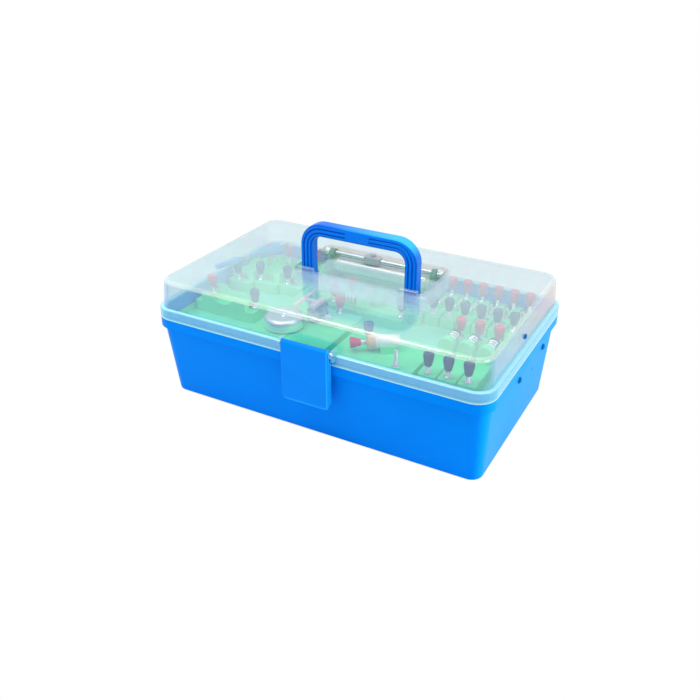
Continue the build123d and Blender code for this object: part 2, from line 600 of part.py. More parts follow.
def switch_jaws(x, y_pivot, y_clip):
    """The hinge clip and the contact clip of one knife switch: each a U of two leaves on a foot."""
    clips = []
    for y in (y_pivot, y_clip):
        clip = block(x - 4, x + 4, y - JAW_WIDTH / 2, y + JAW_WIDTH / 2, MODULE_TOP_Z, MODULE_TOP_Z + 1)
        for side in (-1, 1):
            face = side * (BLADE_THICK / 2 + JAW_GAP)
            back = face + side * JAW_THICK
            clip += block(x + min(face, back), x + max(face, back), y - JAW_WIDTH / 2, y + JAW_WIDTH / 2,
                          MODULE_TOP_Z, BLADE_AXIS_Z + BLADE_WIDTH / 2)
        if y == y_pivot:
            clip -= rod_x(x - 5, x + 5, y, BLADE_AXIS_Z, BLADE_PIVOT_R + PIN_CLEARANCE)
        clips.append(clip)
    return clips


def switch_blade(x, y_pivot):
    """A copper blade with its rivet, reaching from the hinge clip into the contact clip."""
    z0, z1 = BLADE_AXIS_Z - BLADE_WIDTH / 2, BLADE_AXIS_Z + BLADE_WIDTH / 2
    blade = block(x - BLADE_THICK / 2, x + BLADE_THICK / 2, y_pivot, y_pivot + BLADE_LENGTH, z0, z1)
    blade += rod_x(x - BLADE_THICK / 2, x + BLADE_THICK / 2, y_pivot, BLADE_AXIS_Z, BLADE_WIDTH / 2)
    return blade + rod_x(x - 2.5, x + 2.5, y_pivot, BLADE_AXIS_Z, BLADE_PIVOT_R)


def switch_grip(x, y_pivot):
    """The insulating grip on the blade's free end."""
    y0 = y_pivot + BLADE_LENGTH
    grip = Pos(x, y0, BLADE_AXIS_Z) * Rot(-90, 0, 0) * turned([
        (0, 0), (SWITCH_GRIP_R - 0.6, 0), (SWITCH_GRIP_R, 2), (SWITCH_GRIP_R, SWITCH_GRIP_LENGTH - 1.5),
        (SWITCH_GRIP_R - 1, SWITCH_GRIP_LENGTH), (0, SWITCH_GRIP_LENGTH)])
    return grip


def holder_posts(black, red):
    """A holder's two post places from each one's side shift and its distance from the holder's end."""
    half = HOLDER_LENGTH / 2
    return (black[0], black[1] - half), (red[0], half - red[1])


def holder_at_origin(posts):
    """A battery holder along Y with its centre on the origin: a trough between two end blocks."""
    w, h = HOLDER_WIDTH / 2, HOLDER_LENGTH / 2
    top = FLOOR_Z + HOLDER_HEIGHT
    body = slab(HOLDER_WIDTH, HOLDER_LENGTH, MODULE_CORNER_R, FLOOR_Z, MODULE_TOP_Z)
    for side in (-1, 1):
        x = side * (w - HOLDER_WALL / 2)
        leaf = block(x - HOLDER_WALL / 2, x + HOLDER_WALL / 2, -h + HOLDER_BLOCK, h - HOLDER_BLOCK, MODULE_TOP_Z - 1, top)
        leaf -= rod_x(x - 2, x + 2, 0, top + 9, 17.0)
        body += leaf
    trough = rod_y(0, -h + HOLDER_BLOCK, h - HOLDER_BLOCK, FLOOR_Z + MODULE_ROOF + CELL_R, CELL_R)
    body -= trough
    for x, y in posts:
        body -= rod_z(x, y, MODULE_TOP_Z - MODULE_ROOF - 3, MODULE_TOP_Z + 1, STUD_R + STUD_CLEARANCE)
    return body


def holder_contacts():
    """The two bent contact strips of a holder along Y, one at each end of the trough."""
    strips = []
    for side in (-1, 1):
        y0 = side * (HOLDER_LENGTH / 2 - HOLDER_BLOCK)
        y1 = y0 - side * CONTACT_THICK
        strips.append(block(-CONTACT_WIDTH / 2, CONTACT_WIDTH / 2, min(y0, y1), max(y0, y1),
                            FLOOR_Z + MODULE_ROOF + 2.5, FLOOR_Z + HOLDER_HEIGHT - 4))
    return strips


def bell():
    """Base, gong, its screw, two coils, their yoke, the striker and the round contact post."""
    x0, x1, y0, y1 = BELL_BASE
    gx, gy = GONG_CENTRE
    base = module_base(x0, x1, y0, y1, BELL_POSTS[1:]) + module_base(*BELL_ARM, BELL_POSTS[:1])
    base += rod_z(gx, gy, MODULE_TOP_Z - 1, GONG_TOP_Z - GONG_WALL - 1.5, GONG_POST_R)
    base -= rod_z(gx, gy, GONG_TOP_Z - 9, GONG_TOP_Z, 1.5 + STUD_CLEARANCE)
    gong = rod_z(gx, gy, GONG_TOP_Z - GONG_HEIGHT, GONG_TOP_Z, GONG_R)
    gong = fillet(gong.edges().group_by(Axis.Z)[-1], 4.0)
    hollow = rod_z(gx, gy, GONG_TOP_Z - GONG_HEIGHT - 1, GONG_TOP_Z - GONG_WALL, GONG_R - GONG_WALL)
    gong -= fillet(hollow.edges().group_by(Axis.Z)[-1], 3.0)
    gong += rod_z(gx, gy, GONG_TOP_Z - GONG_WALL - 1.5, GONG_TOP_Z - GONG_WALL + 0.2, GONG_POST_R + 1)
    gong -= rod_z(gx, gy, GONG_TOP_Z - 9, GONG_TOP_Z + 1, 1.5 + STUD_CLEARANCE)
    screw = rod_z(gx, gy, GONG_TOP_Z - 8, GONG_TOP_Z, 1.5)
    screw += Pos(gx, gy, GONG_TOP_Z) * turned([(0, 0), (3.2, 0), (2.6, 1.4), (1.2, 2.1), (0, 2.1)])

    foot = MODULE_TOP_Z + YOKE_THICK
    (cx, front_y), (_, back_y) = COIL_CENTRES
    yoke = block(cx - 4, cx + 4, front_y - 4, back_y + 4, MODULE_TOP_Z, foot)
    core_top = foot + COIL_HEIGHT + 1.2
    flange_r = COIL_R + COIL_FLANGE
    coils = []
    for x, y in COIL_CENTRES:
        yoke += rod_z(x, y, foot - 0.5, core_top, COIL_CORE_R)
        coil = turned([(COIL_CORE_R + 0.1, foot), (flange_r, foot), (flange_r, foot + 1), (COIL_R, foot + 1),
                       (COIL_R, foot + COIL_HEIGHT - 1), (flange_r, foot + COIL_HEIGHT - 1),
                       (flange_r, foot + COIL_HEIGHT), (COIL_CORE_R + 0.1, foot + COIL_HEIGHT)])
        coils.append(Pos(x, y, 0) * coil)

    half = STRIKER_WIDTH / 2
    for side in (-1, 1):
        near, far = STRIKER_X + side * (half + 0.4), STRIKER_X + side * (half + 2.4)
        cheek = block(min(near, far), max(near, far), STRIKER_PIVOT_Y - 2.5, STRIKER_PIVOT_Y + 2.5,
                      MODULE_TOP_Z - 1, STRIKER_Z + 2.5)
        base += cheek - rod_x(STRIKER_X - 9, STRIKER_X + 9, STRIKER_PIVOT_Y, STRIKER_Z, STRIKER_PIN_R + PIN_CLEARANCE)
    low, high = STRIKER_Z - STRIKER_THICK / 2, STRIKER_Z + STRIKER_THICK / 2
    tip_y = gy + GONG_R - 3.0
    striker = block(STRIKER_X - half, STRIKER_X + half, tip_y - 3, STRIKER_PIVOT_Y, low, high)
    striker += rod_x(STRIKER_X - half, STRIKER_X + half, STRIKER_PIVOT_Y, STRIKER_Z, STRIKER_PIN_R + 0.9)
    striker += rod_x(STRIKER_X - half - 2.4, STRIKER_X + half + 2.4, STRIKER_PIVOT_Y, STRIKER_Z, STRIKER_PIN_R)
    striker += rod_z(STRIKER_X, tip_y, GONG_TOP_Z + STRIKER_BALL_GAP, low + 0.1, STRIKER_BALL_R)
    arm_y = (front_y + back_y) / 2
    striker += block(STRIKER_X, cx + 3, arm_y - 3, arm_y + 3, low, high)
    striker += block(cx - 3, cx + 3, front_y - 3, back_y + 3, core_top + ARMATURE_GAP, high)
    px, py = CONTACT_POST_PLACE
    post = Pos(px, py, MODULE_TOP_Z) * turned([(0, 0), (2.4, 0), (2.4, 7), (CONTACT_POST_R, 7), (CONTACT_POST_R, 11.5),
                                               (CONTACT_POST_R - 0.8, 12.3), (0, 12.3)])
    return base, gong, screw, coils, yoke, striker, post


def rheostat():
    """Two end plates, the resistance tube between them, the guide rod above and its slider."""
    y, half = RHEOSTAT_Y, RHEOSTAT_PLATE_WIDTH / 2
    plates = []
    for x in (RHEOSTAT_LEFT_X, RHEOSTAT_RIGHT_X):
        inward = 1 if x < 0 else -1
        x_in = x + inward * RHEOSTAT_PLATE
        x0, x1 = min(x, x_in), max(x, x_in)
        plate = block(x0, x1, y - half + 3, y + half - 3, FLOOR_Z, RHEOSTAT_TOP_Z - 4)
        plate += rod_x(x0, x1, y, RHEOSTAT_TOP_Z - 6, half - 4.5)
        plate += rod_x(x0, x1, y, RHEOSTAT_AXIS_Z, half)
        plate += block(min(x, x_in + inward * 4), max(x, x_in + inward * 4), y - half, y + half, FLOOR_Z, FLOOR_Z + 3)
        plate -= rod_x(x0 - 1, x1 + 1, y, RHEOSTAT_ROD_Z, RHEOSTAT_ROD_R + 0.03)
        plates.append(plate)
    a, b = RHEOSTAT_LEFT_X + RHEOSTAT_PLATE, RHEOSTAT_RIGHT_X - RHEOSTAT_PLATE
    tube = rod_x(a, b, y, RHEOSTAT_AXIS_Z, RHEOSTAT_TUBE_R) - rod_x(a - 1, b + 1, y, RHEOSTAT_AXIS_Z, RHEOSTAT_BORE_R)
    left_nut, right_nut = RHEOSTAT_LEFT_X - RHEOSTAT_NUT_LENGTH, RHEOSTAT_RIGHT_X + RHEOSTAT_NUT_LENGTH
    rod = rod_x(left_nut, right_nut, y, RHEOSTAT_ROD_Z, RHEOSTAT_ROD_R)
    rod += rod_x(left_nut, RHEOSTAT_LEFT_X, y, RHEOSTAT_ROD_Z, RHEOSTAT_NUT_R)
    rod += rod_x(RHEOSTAT_RIGHT_X, right_nut, y, RHEOSTAT_ROD_Z, RHEOSTAT_NUT_R)
    s0, s1 = SLIDER_X - SLIDER_LENGTH / 2, SLIDER_X + SLIDER_LENGTH / 2
    tube_top = RHEOSTAT_AXIS_Z + RHEOSTAT_TUBE_R
    slider = block(s0, s1, y - SLIDER_WIDTH / 2, y + SLIDER_WIDTH / 2, tube_top + 1.0, RHEOSTAT_ROD_Z + 3.6)
    slider = fillet(slider.edges().filter_by(Axis.Z), 2.0)
    slider += Pos(SLIDER_X, y, RHEOSTAT_ROD_Z + 4) * turned([(0, -1), (2.6, -1), (2.6, 0.5), (3.6, 2.2), (3.0, 3.4), (0, 3.4)])
    slider += block(SLIDER_X - 3, SLIDER_X + 3, y - 2.5, y + 2.5, tube_top + 0.3, tube_top + 2)
    slider -= rod_x(s0 - 1, s1 + 1, y, RHEOSTAT_ROD_Z, RHEOSTAT_ROD_R + PIN_CLEARANCE)
    return plates, tube, rod, slider


def motor():
    """Base with a clip, a small motor in it, its end cap, shaft and tapered hub."""
    x0, x1, y0, y1 = MOTOR_BASE
    mx, my = MOTOR_CENTRE
    place = Pos(mx, my, MOTOR_AXIS_Z) * Rot(0, 0, MOTOR_TURN)
    half = MOTOR_LENGTH / 2
    base = module_base(x0, x1, y0, y1, MOTOR_POST_PLACES)
    cradle = Box(14, 2 * MOTOR_R + 4, 8)
    base += place * (Pos(0, 0, MODULE_TOP_Z - 0.5 - MOTOR_AXIS_Z + 4) * cradle)
    base -= place * rod_x(-half - 1, half + 1, 0, 0, MOTOR_R)
    can = place * rod_x(-half, half, 0, 0, MOTOR_R)
    cap_end = -half - MOTOR_CAP_LENGTH
    cap = rod_x(cap_end, -half, 0, 0, MOTOR_R + 0.5) + rod_x(cap_end - 1.5, cap_end, 0, 0, 2.6)
    cap -= rod_x(cap_end - 3, -half, 0, 0, MOTOR_SHAFT_R + PIN_CLEARANCE)
    hub_near = cap_end - HUB_GAP
    shaft = place * rod_x(hub_near - HUB_LENGTH + 2, -half - 0.4, 0, 0, MOTOR_SHAFT_R)
    hub = turned([(MOTOR_SHAFT_R, 0), (HUB_SMALL_R, 0), (HUB_BIG_R, HUB_LENGTH - 1), (HUB_BIG_R - 0.8, HUB_LENGTH),
                  (0, HUB_LENGTH), (0, HUB_LENGTH - 2), (MOTOR_SHAFT_R, HUB_LENGTH - 2)])
    hub = place * (Pos(hub_near, 0, 0) * Rot(0, -90, 0) * hub)
    return base, can, place * cap, shaft, hub


def clip_between(tail, tip, grip_scale):
    """A crocodile clip from its cable end to its jaw tip: a blue boot and a pair of steel jaws."""
    (xa, ya), (xb, yb) = tail, tip
    length = math.hypot(xb - xa, yb - ya)
    place = Pos(xa, ya, CLIP_AXIS_Z) * Rot(0, 0, math.degrees(math.atan2(yb - ya, xb - xa)))
    sleeve_end, boot_end = 0.36 * length, 0.72 * length
    wide, tall = CLIP_GRIP_WIDTH / 2 * grip_scale, CLIP_GRIP_HEIGHT / 2 * grip_scale
    boot = Rot(0, 90, 0) * turned([(0, 0), (CLIP_SLEEVE_R - 0.6, 0), (CLIP_SLEEVE_R, 2), (CLIP_SLEEVE_R, sleeve_end + 1),
                                   (0, sleeve_end + 1)])
    boot += loft([
        Plane.YZ.offset(sleeve_end) * RectangleRounded(2 * CLIP_SLEEVE_R, 2 * CLIP_SLEEVE_R, 1.5),
        Plane.YZ.offset(0.6 * length) * RectangleRounded(2 * wide, 2 * tall, 1.5),
        Plane.YZ.offset(boot_end) * RectangleRounded(2 * wide - 1.5, 2 * tall - 1.0, 1.5),
    ], ruled=True)
    half = CLIP_JAW_WIDTH / 2
    jaw_points = ((boot_end, -half), (0.96 * length, 0.6 - half), (length, 1.4 - half), (length, half - 1.4),
                  (0.96 * length, half - 0.6), (boot_end, half))
    profile = make_face(Polyline(*jaw_points, close=True))
    return place * boot, place * extrude(profile, CLIP_JAW_THICK / 2, both=True)


def clips():
    """Two crocodile clips end to end, lying on the battery posts."""
    front_boot, front_jaw = clip_between(CLIP_FRONT_END, CLIP_FRONT_TIP, 0.7)
    back_boot, back_jaw = clip_between(CLIP_BACK_START, CLIP_BACK_END, 1.0)
    return [front_boot, back_boot], [front_jaw, back_jaw]


os.makedirs("parts", exist_ok=True)

red_posts, black_posts = [], []

save(base_box(), "base_box")
save(lid(), "lid")
group(hinge_pins(), "hinge_pins")
save(handle(), "handle")
group(handle_pins(), "handle_pins")
save(latch(), "latch")
save(latch_pin(), "latch_pin")
save(tray(), "tray")

for number, (x, y) in enumerate(LAMP_STANDING, start=1):
    save(lamp_base(x, y), f"lamp_base_{number}")
    save(socket_along_y(x, y + SOCKET_OFFSET), f"lamp_socket_{number}")
    black_posts.append((x, y - LAMP_POST_SPAN / 2, MODULE_TOP_Z))
    red_posts.append((x, y + LAMP_POST_SPAN / 2, MODULE_TOP_Z))
for number, (x, y) in enumerate(LAMP_LYING, start=len(LAMP_STANDING) + 1):
    lie = Pos(x, y, 0) * Rot(0, 0, 90)
    save(lie * lamp_base(0, 0), f"lamp_base_{number}")
    save(lie * socket_along_y(0, SOCKET_OFFSET), f"lamp_socket_{number}")
    red_posts.append((x - LAMP_POST_SPAN / 2, y, MODULE_TOP_Z))
    black_posts.append((x + LAMP_POST_SPAN / 2, y, MODULE_TOP_Z))

jaws = []
for place in range(6):
    x = SHORT_FIRST_X + SHORT_PITCH * place
    number = place % 3 + 1
    if place < 3:
        save(resistor_base(x), f"resistor_base_{number}")
        save(resistor_tube(x), f"resistor_tube_{number}")
    else:
        pivot_y = SHORT_Y - 13.5
        save(short_base(x), f"switch_base_{number}")
        save(switch_blade(x, pivot_y), f"switch_blade_{number}")
        save(switch_grip(x, pivot_y), f"switch_grip_{number}")
        jaws += switch_jaws(x, pivot_y, pivot_y + BLADE_LENGTH - 5)
    black_posts.append((x, SHORT_Y - SHORT_POST_SPAN / 2, MODULE_TOP_Z))
    red_posts.append((x, SHORT_Y + SHORT_POST_SPAN / 2, MODULE_TOP_Z))
group(jaws, "switch_clips")

contacts = []
for number, (y, insets) in enumerate(zip(HOLDER_STANDING_Y, HOLDER_STANDING_POSTS), start=1):
    x = HOLDER_LAST_X - (len(HOLDER_STANDING_Y) - number) * HOLDER_PITCH
    posts = holder_posts(*insets)
    save(Pos(x, y, 0) * holder_at_origin(posts), f"battery_holder_{number}")
    contacts += [Pos(x, y, 0) * strip for strip in holder_contacts()]
    (black_x, black_y), (red_x, red_y) = posts
    black_posts.append((x + black_x, y + black_y, MODULE_TOP_Z))
    red_posts.append((x + red_x, y + red_y, MODULE_TOP_Z))
x, y = HOLDER_LYING
(red_x, red_y), (black_x, black_y) = holder_posts(*HOLDER_LYING_POSTS)
lie = Pos(x, y, 0) * Rot(0, 0, -90)
save(lie * holder_at_origin(((red_x, red_y), (black_x, black_y))), "battery_holder_4")
contacts += [lie * strip for strip in holder_contacts()]
red_posts.append((x + red_y, y - red_x, MODULE_TOP_Z))
black_posts.append((x + black_y, y - black_x, MODULE_TOP_Z))
group(contacts, "battery_contacts")

bell_base, gong, gong_screw, coils, yoke, striker, contact_post = bell()
save(bell_base, "bell_base")
save(gong, "bell_gong")
save(gong_screw, "bell_gong_screw")
group(coils, "bell_coils")
save(yoke, "bell_yoke")
save(striker, "bell_striker")
save(contact_post, "bell_contact_post")
black_posts.append((*BELL_POSTS[0], MODULE_TOP_Z))
red_posts.append((*BELL_POSTS[1], MODULE_TOP_Z))

plates, tube, rod, slider = rheostat()
group(plates, "rheostat_end_plates")
save(tube, "rheostat_tube")
save(rod, "rheostat_rod")
save(slider, "rheostat_slider")

motor_base, can, cap, shaft, hub = motor()
save(motor_base, "motor_base")
save(can, "motor_can")
save(cap, "motor_cap")
save(shaft, "motor_shaft")
save(hub, "motor_hub")
black_posts.append((*MOTOR_POST_PLACES[0], MODULE_TOP_Z))
bare_posts = [(*MOTOR_POST_PLACES[1], MODULE_TOP_Z)]

boots, clip_jaws = clips()
group(boots, "clip_boots")
group(clip_jaws, "clip_jaws")

group([knob(x, y) for x, y, seat in red_posts], "red_terminal_knobs")
group([knob(x, y) for x, y, seat in black_posts], "black_terminal_knobs")
group([stud(*place) for place in red_posts + black_posts + bare_posts], "terminal_studs")
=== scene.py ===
import json
from functools import cache
from math import atan2, cos, hypot, radians, sin, tau

import bmesh
import bpy
from bpy.props import FloatProperty, FloatVectorProperty, PointerProperty
from mathutils import Matrix, Vector


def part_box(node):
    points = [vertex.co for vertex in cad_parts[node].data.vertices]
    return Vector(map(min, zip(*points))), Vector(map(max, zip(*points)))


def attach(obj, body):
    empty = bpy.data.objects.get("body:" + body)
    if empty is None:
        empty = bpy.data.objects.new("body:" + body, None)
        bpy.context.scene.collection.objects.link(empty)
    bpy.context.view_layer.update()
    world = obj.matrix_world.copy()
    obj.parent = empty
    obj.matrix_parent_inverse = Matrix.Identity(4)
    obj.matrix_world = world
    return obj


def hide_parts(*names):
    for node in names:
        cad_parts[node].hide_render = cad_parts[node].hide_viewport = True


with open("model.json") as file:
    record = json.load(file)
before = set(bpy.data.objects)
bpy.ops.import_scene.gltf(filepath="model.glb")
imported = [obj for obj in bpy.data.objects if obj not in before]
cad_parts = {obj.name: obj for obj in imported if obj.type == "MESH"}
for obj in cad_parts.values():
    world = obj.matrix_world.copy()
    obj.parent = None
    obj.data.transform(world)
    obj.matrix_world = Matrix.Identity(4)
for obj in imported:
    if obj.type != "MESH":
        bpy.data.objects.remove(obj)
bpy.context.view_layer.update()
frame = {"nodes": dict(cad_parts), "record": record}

bl_info = {
    "name": "Electricity experiment kit",
    "version": (1, 0, 0),
    "blender": (4, 5, 0),
    "location": "3D View > Sidebar > Kit",
    "description": "Finishes the packed model of a cased electricity experiment kit",
    "category": "Add Mesh",
}

MM = 0.001
UP = Vector((0.0, 0.0, 1.0))
STILL = Matrix.Identity(4)
JOIN = 2e-6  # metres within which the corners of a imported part's triangles are one corner
VENTS = ((62.0, 66.0), (-12.0, 65.5))  # across and up the right wall, in millimetres
RIVET = (175.3, -9.0, 110.5)


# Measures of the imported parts, in millimetres

def joined(node):
    """A bmesh of a node's own shape, with its loose triangles joined up."""
    bm = bmesh.new()
    bm.from_mesh(frame["nodes"][node].data)
    bmesh.ops.remove_doubles(bm, verts=bm.verts, dist=JOIN)
    return bm


def ends(node):
    """A node's two box corners."""
    low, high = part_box(node)
    return Vector(low) / MM, Vector(high) / MM


def middle(node):
    """The middle of a node's box."""
    low, high = ends(node)
    return (low + high) / 2


def solids(node):
    """The two box corners of each separate solid of a node, from left to right."""
    bm = joined(node)
    left, boxes = set(bm.verts), []
    while left:
        found = [left.pop()]
        for vert in found:
            near = {v for edge in vert.link_edges for v in edge.verts} & left
            left -= near
            found.extend(near)
        boxes.append([Vector([pick(v.co[i] for v in found) for i in range(3)]) for pick in (min, max)])
    bm.free()
    boxes.sort(key=lambda box: [round(value, 4) for value in box[0]])
    return [(low / MM, high / MM) for low, high in boxes]


def middles(node):
    """The middle of each separate solid of a node."""
    return [(low + high) / 2 for low, high in solids(node)]


def at(x, y, z, turn=STILL):
    """A matrix that puts a shape at a place in millimetres, after a turn."""
    return Matrix.Translation((x * MM, y * MM, z * MM)) @ turn


def lying(axis, way=1):
    """The turn that lays a shape's Z along another axis."""
    degrees, about = (90, "Y") if axis == "X" else (-90, "X")
    return Matrix.Rotation(radians(degrees * way), 4, about)


def barrel(node, axis, way=1):
    """A lying round part: its radius, its length and the place of its foot, with Z along it."""
    low, high = ends(node)
    foot, along = middle(node), "XYZ".index(axis)
    foot[along] = (low if way > 0 else high)[along]
    return (high.z - low.z) / 2, high[along] - low[along], at(*foot, lying(axis, way))


def upright(low, high):
    """A standing round part: the place of its axis, its radius, its foot and its top."""
    return at((low.x + high.x) / 2, (low.y + high.y) / 2, 0), (high.x - low.x) / 2, low.z, high.z


def body_of(node):
    """The name of the body that a CAD node rides on."""
    return next(name for name, nodes in frame["record"]["behaviour"]["bodies"].items() if node in nodes)


def slot_of(node):
    """The record's material slot of a CAD node."""
    return next(part["material_slot"] for part in frame["record"]["subparts"] if part["node"] == node)


# Mesh helpers, which take millimetres

def corners(geom):
    """The vertices in an operator's result."""
    return [g for g in geom if isinstance(g, bmesh.types.BMVert)]


def rim(radius, height, *points):
    """Outline points counted from a radius and a height."""
    return [(radius + out, height + up) for out, up in points]


class Solid:
    """One piece's mesh, put together from shapes made by bmesh operators."""

    def __init__(self):
        self.bm = bmesh.new()

    def fresh(self, before):
        """The vertices that weren't there before."""
        return [v for v in self.bm.verts if v not in before]

    def move(self, verts, place):
        bmesh.ops.transform(self.bm, matrix=place, verts=verts)
        return verts

    def outline(self, points):
        """Vertices at (radius, height) points."""
        return [self.bm.verts.new((r * MM, 0.0, h * MM)) for r, h in points]

    def spin(self, profile, steps=32, place=STILL, flutes=None):
        """A closed turned shape about Z from (radius, height) points, fluted before it is placed."""
        before = set(self.bm.verts)
        verts = self.outline(profile)
        edges = [self.bm.edges.new(pair) for pair in zip(verts, verts[1:])]
        bmesh.ops.spin(self.bm, geom=verts + edges, cent=(0, 0, 0), axis=UP, dvec=(0, 0, 0),
                       angle=tau, steps=steps, use_merge=True, use_duplicate=False)
        bmesh.ops.remove_doubles(self.bm, verts=self.fresh(before), dist=1e-6)
        fresh = self.fresh(before)
        if flutes:
            self.flute(fresh, *flutes)
        return self.move(fresh, place)

    def flute(self, verts, count, depth, low, high):
        """Presses evenly spaced hollows into a turned shape between two heights."""
        for vert in verts:
            x, y, z = vert.co / MM
            radius = hypot(x, y)
            if low < z < high and radius > depth * 4:
                dip = depth * (0.5 + 0.5 * cos(atan2(y, x) * count))
                bmesh.ops.translate(self.bm, verts=[vert], vec=Vector((x, y, 0.0)) * (-dip / radius * MM))

    def helix(self, profile, turns, pitch, steps, place):
        """A closed (radius, height) outline wound up about Z."""
        before = set(self.bm.verts)
        verts = self.outline(profile)
        face = self.bm.faces.new(verts)
        count = int(steps * turns)
        bmesh.ops.spin(self.bm, geom=[face, *face.edges, *verts], cent=(0, 0, 0), axis=UP, angle=tau * turns,
                       dvec=(0, 0, pitch * turns / count * MM), steps=count, use_duplicate=False)
        return self.move(self.fresh(before), place)

    def soften(self, edges, size):
        """Rounds edges."""
        bmesh.ops.bevel(self.bm, geom=edges, offset=size * MM, affect="EDGES", segments=2, profile=0.5,
                        material=-1, offset_type="OFFSET", clamp_overlap=True)

    def brick(self, low, high, bevel, place):
        """A box between two corners, with rounded edges."""
        before = set(self.bm.verts)
        low, high = Vector(low) * MM, Vector(high) * MM
        box = Matrix.Translation((low + high) / 2) @ Matrix.Diagonal((*(high - low), 1))
        bmesh.ops.create_cube(self.bm, size=1.0, matrix=box)
        if bevel:
            fresh = set(self.fresh(before))
            self.soften([e for e in self.bm.edges if e.verts[0] in fresh], bevel)
        return self.move(self.fresh(before), place)

    def plate(self, points, thickness, bevel, place):
        """A level plate: an outline raised by a thickness, with a rounded top edge."""
        before = set(self.bm.verts)
        face = self.bm.faces.new([self.bm.verts.new((x * MM, y * MM, 0.0)) for x, y in points])
        top = corners(bmesh.ops.extrude_face_region(self.bm, geom=[face])["geom"])
        bmesh.ops.translate(self.bm, verts=top, vec=(0, 0, thickness * MM))
        self.soften([e for e in self.bm.edges if e.verts[0] in top and e.verts[1] in top], bevel)
        return self.move(self.fresh(before), place)

    def repeat(self, first, places):
        """Repeats a shape, known by its vertices, at several places."""
        own = set(first)
        geom = [*first, *(e for e in self.bm.edges if e.verts[0] in own),
                *(f for f in self.bm.faces if f.verts[0] in own)]
        for place in places[1:]:
            self.move(corners(bmesh.ops.duplicate(self.bm, geom=geom)["geom"]), place)
        self.move(first, places[0])

    def finish(self, name, finish, node, slot=None, angle=35.0):
        """Writes the mesh as a piece, beside the node if a slot is given and else in its stead."""
        loose = [v for v in self.bm.verts if not v.link_faces]
        bmesh.ops.delete(self.bm, geom=loose, context="VERTS")
        bmesh.ops.recalc_face_normals(self.bm, faces=self.bm.faces)
        write_piece(self.bm, name, finish, node, slot, angle)


def turned(name, finish, node, place, profile, steps=32, slot=None, angle=35.0, flutes=None):
    """A piece that is one turned shape."""
    shape = Solid()
    shape.spin(profile, steps, place, flutes)
    shape.finish(name, finish, node, slot, angle)


def put(name, data):
    """Adds an object to the scene."""
    made = bpy.data.objects.new(name, data)
    bpy.context.scene.collection.objects.link(made)
    return made


def mesh_of(bm, name):
    """Turns a bmesh into a mesh."""
    mesh = bpy.data.meshes.new(name)
    bm.to_mesh(mesh)
    bm.free()
    return mesh


def write_piece(bm, name, finish, node, slot, angle):
    """Writes a bmesh as a smooth-shaded object and ties it to the frame."""
    body, replaces = body_of(node), () if slot else (node,)
    slot = slot or slot_of(node)
    for face in bm.faces:
        face.smooth = True
    for edge in bm.edges:
        edge.smooth = edge.calc_face_angle(0.0) < radians(angle)
    piece = put(name, mesh_of(bm, name))
    piece.data.materials.append(material(finish))
    weighted = piece.modifiers.new("Even shading", "WEIGHTED_NORMAL")
    weighted.keep_sharp = True
    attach(piece, body)
    if replaces:
        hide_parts(*replaces)


def smoothed(finish, *nodes):
    """CAD nodes in their own shape, joined up and shaded smoothly."""
    for node in nodes:
        write_piece(joined(node), f"{node}_skin", finish, node, None, 28.0)


# Shaders

def rgba(colour, factor=1.0, lift=0.0):
    """A colour for a socket, scaled and then lightened."""
    return (*(c * factor + lift for c in colour[:3]), 1.0)


class Graph:
    """Adds and links the nodes of a material or a shader group. A value is a number, a tuple or a socket."""

    def __init__(self, tree):
        self.tree = tree

    def feed(self, value, socket):
        """Links a socket to an input, or writes a plain value on it."""
        if isinstance(value, bpy.types.NodeSocket):
            self.tree.links.new(value, socket)
        else:
            socket.default_value = value

    def add(self, kind, **values):
        """A node with its settings, which start with a small letter, and its inputs."""
        node = self.tree.nodes.new(f"ShaderNode{kind}")
        for key, value in values.items():
            if key[0].islower():
                setattr(node, key, value)
            else:
                self.feed(value, node.inputs[key.replace("_", " ")])
        return node

    def calc(self, operation, *values, clamp=False):
        """The result of a math node."""
        node = self.add("Math", operation=operation, use_clamp=clamp)
        for value, socket in zip(values, node.inputs):
            self.feed(value, socket)
        return node.outputs[0]

    def plus(self, a, b, clamp=False):
        return self.calc("ADD", a, b, clamp=clamp)

    def times(self, a, b, clamp=False):
        return self.calc("MULTIPLY", a, b, clamp=clamp)

    def most(self, a, b):
        return self.calc("MAXIMUM", a, b)

    def ramp(self, value, low, high, start=0.0, end=1.0):
        """Maps a value from one range to another, held at its ends."""
        node = self.add("MapRange", Value=value, From_Min=low, From_Max=high, To_Min=start, To_Max=end)
        return node.outputs["Result"]

    def between(self, value, low, high, soft):
        """A mask that is one between two limits, with soft sides."""
        return self.times(self.ramp(value, low - soft, low), self.ramp(value, high + soft, high))

    def noise(self, vector, scale, detail, roughness=0.5, distortion=0.0):
        return self.add("TexNoise", Vector=vector, Scale=scale, Detail=detail, Roughness=roughness,
                        Distortion=distortion).outputs["Fac"]

    def split(self, vector):
        """The X, Y and Z of a vector."""
        return self.add("SeparateXYZ", Vector=vector).outputs

    def mix(self, factor, a, b):
        """Mixes two colours."""
        node = self.add("Mix", data_type="RGBA")
        for index, value in ((0, factor), (6, a), (7, b)):
            self.feed(value, node.inputs[index])
        return node.outputs[2]


# Shader groups: each puts out colours, masks and values only

GREY = (0.5, 0.5, 0.5, 1.0)
SURFACE = ("Colour", "Roughness", "Height")


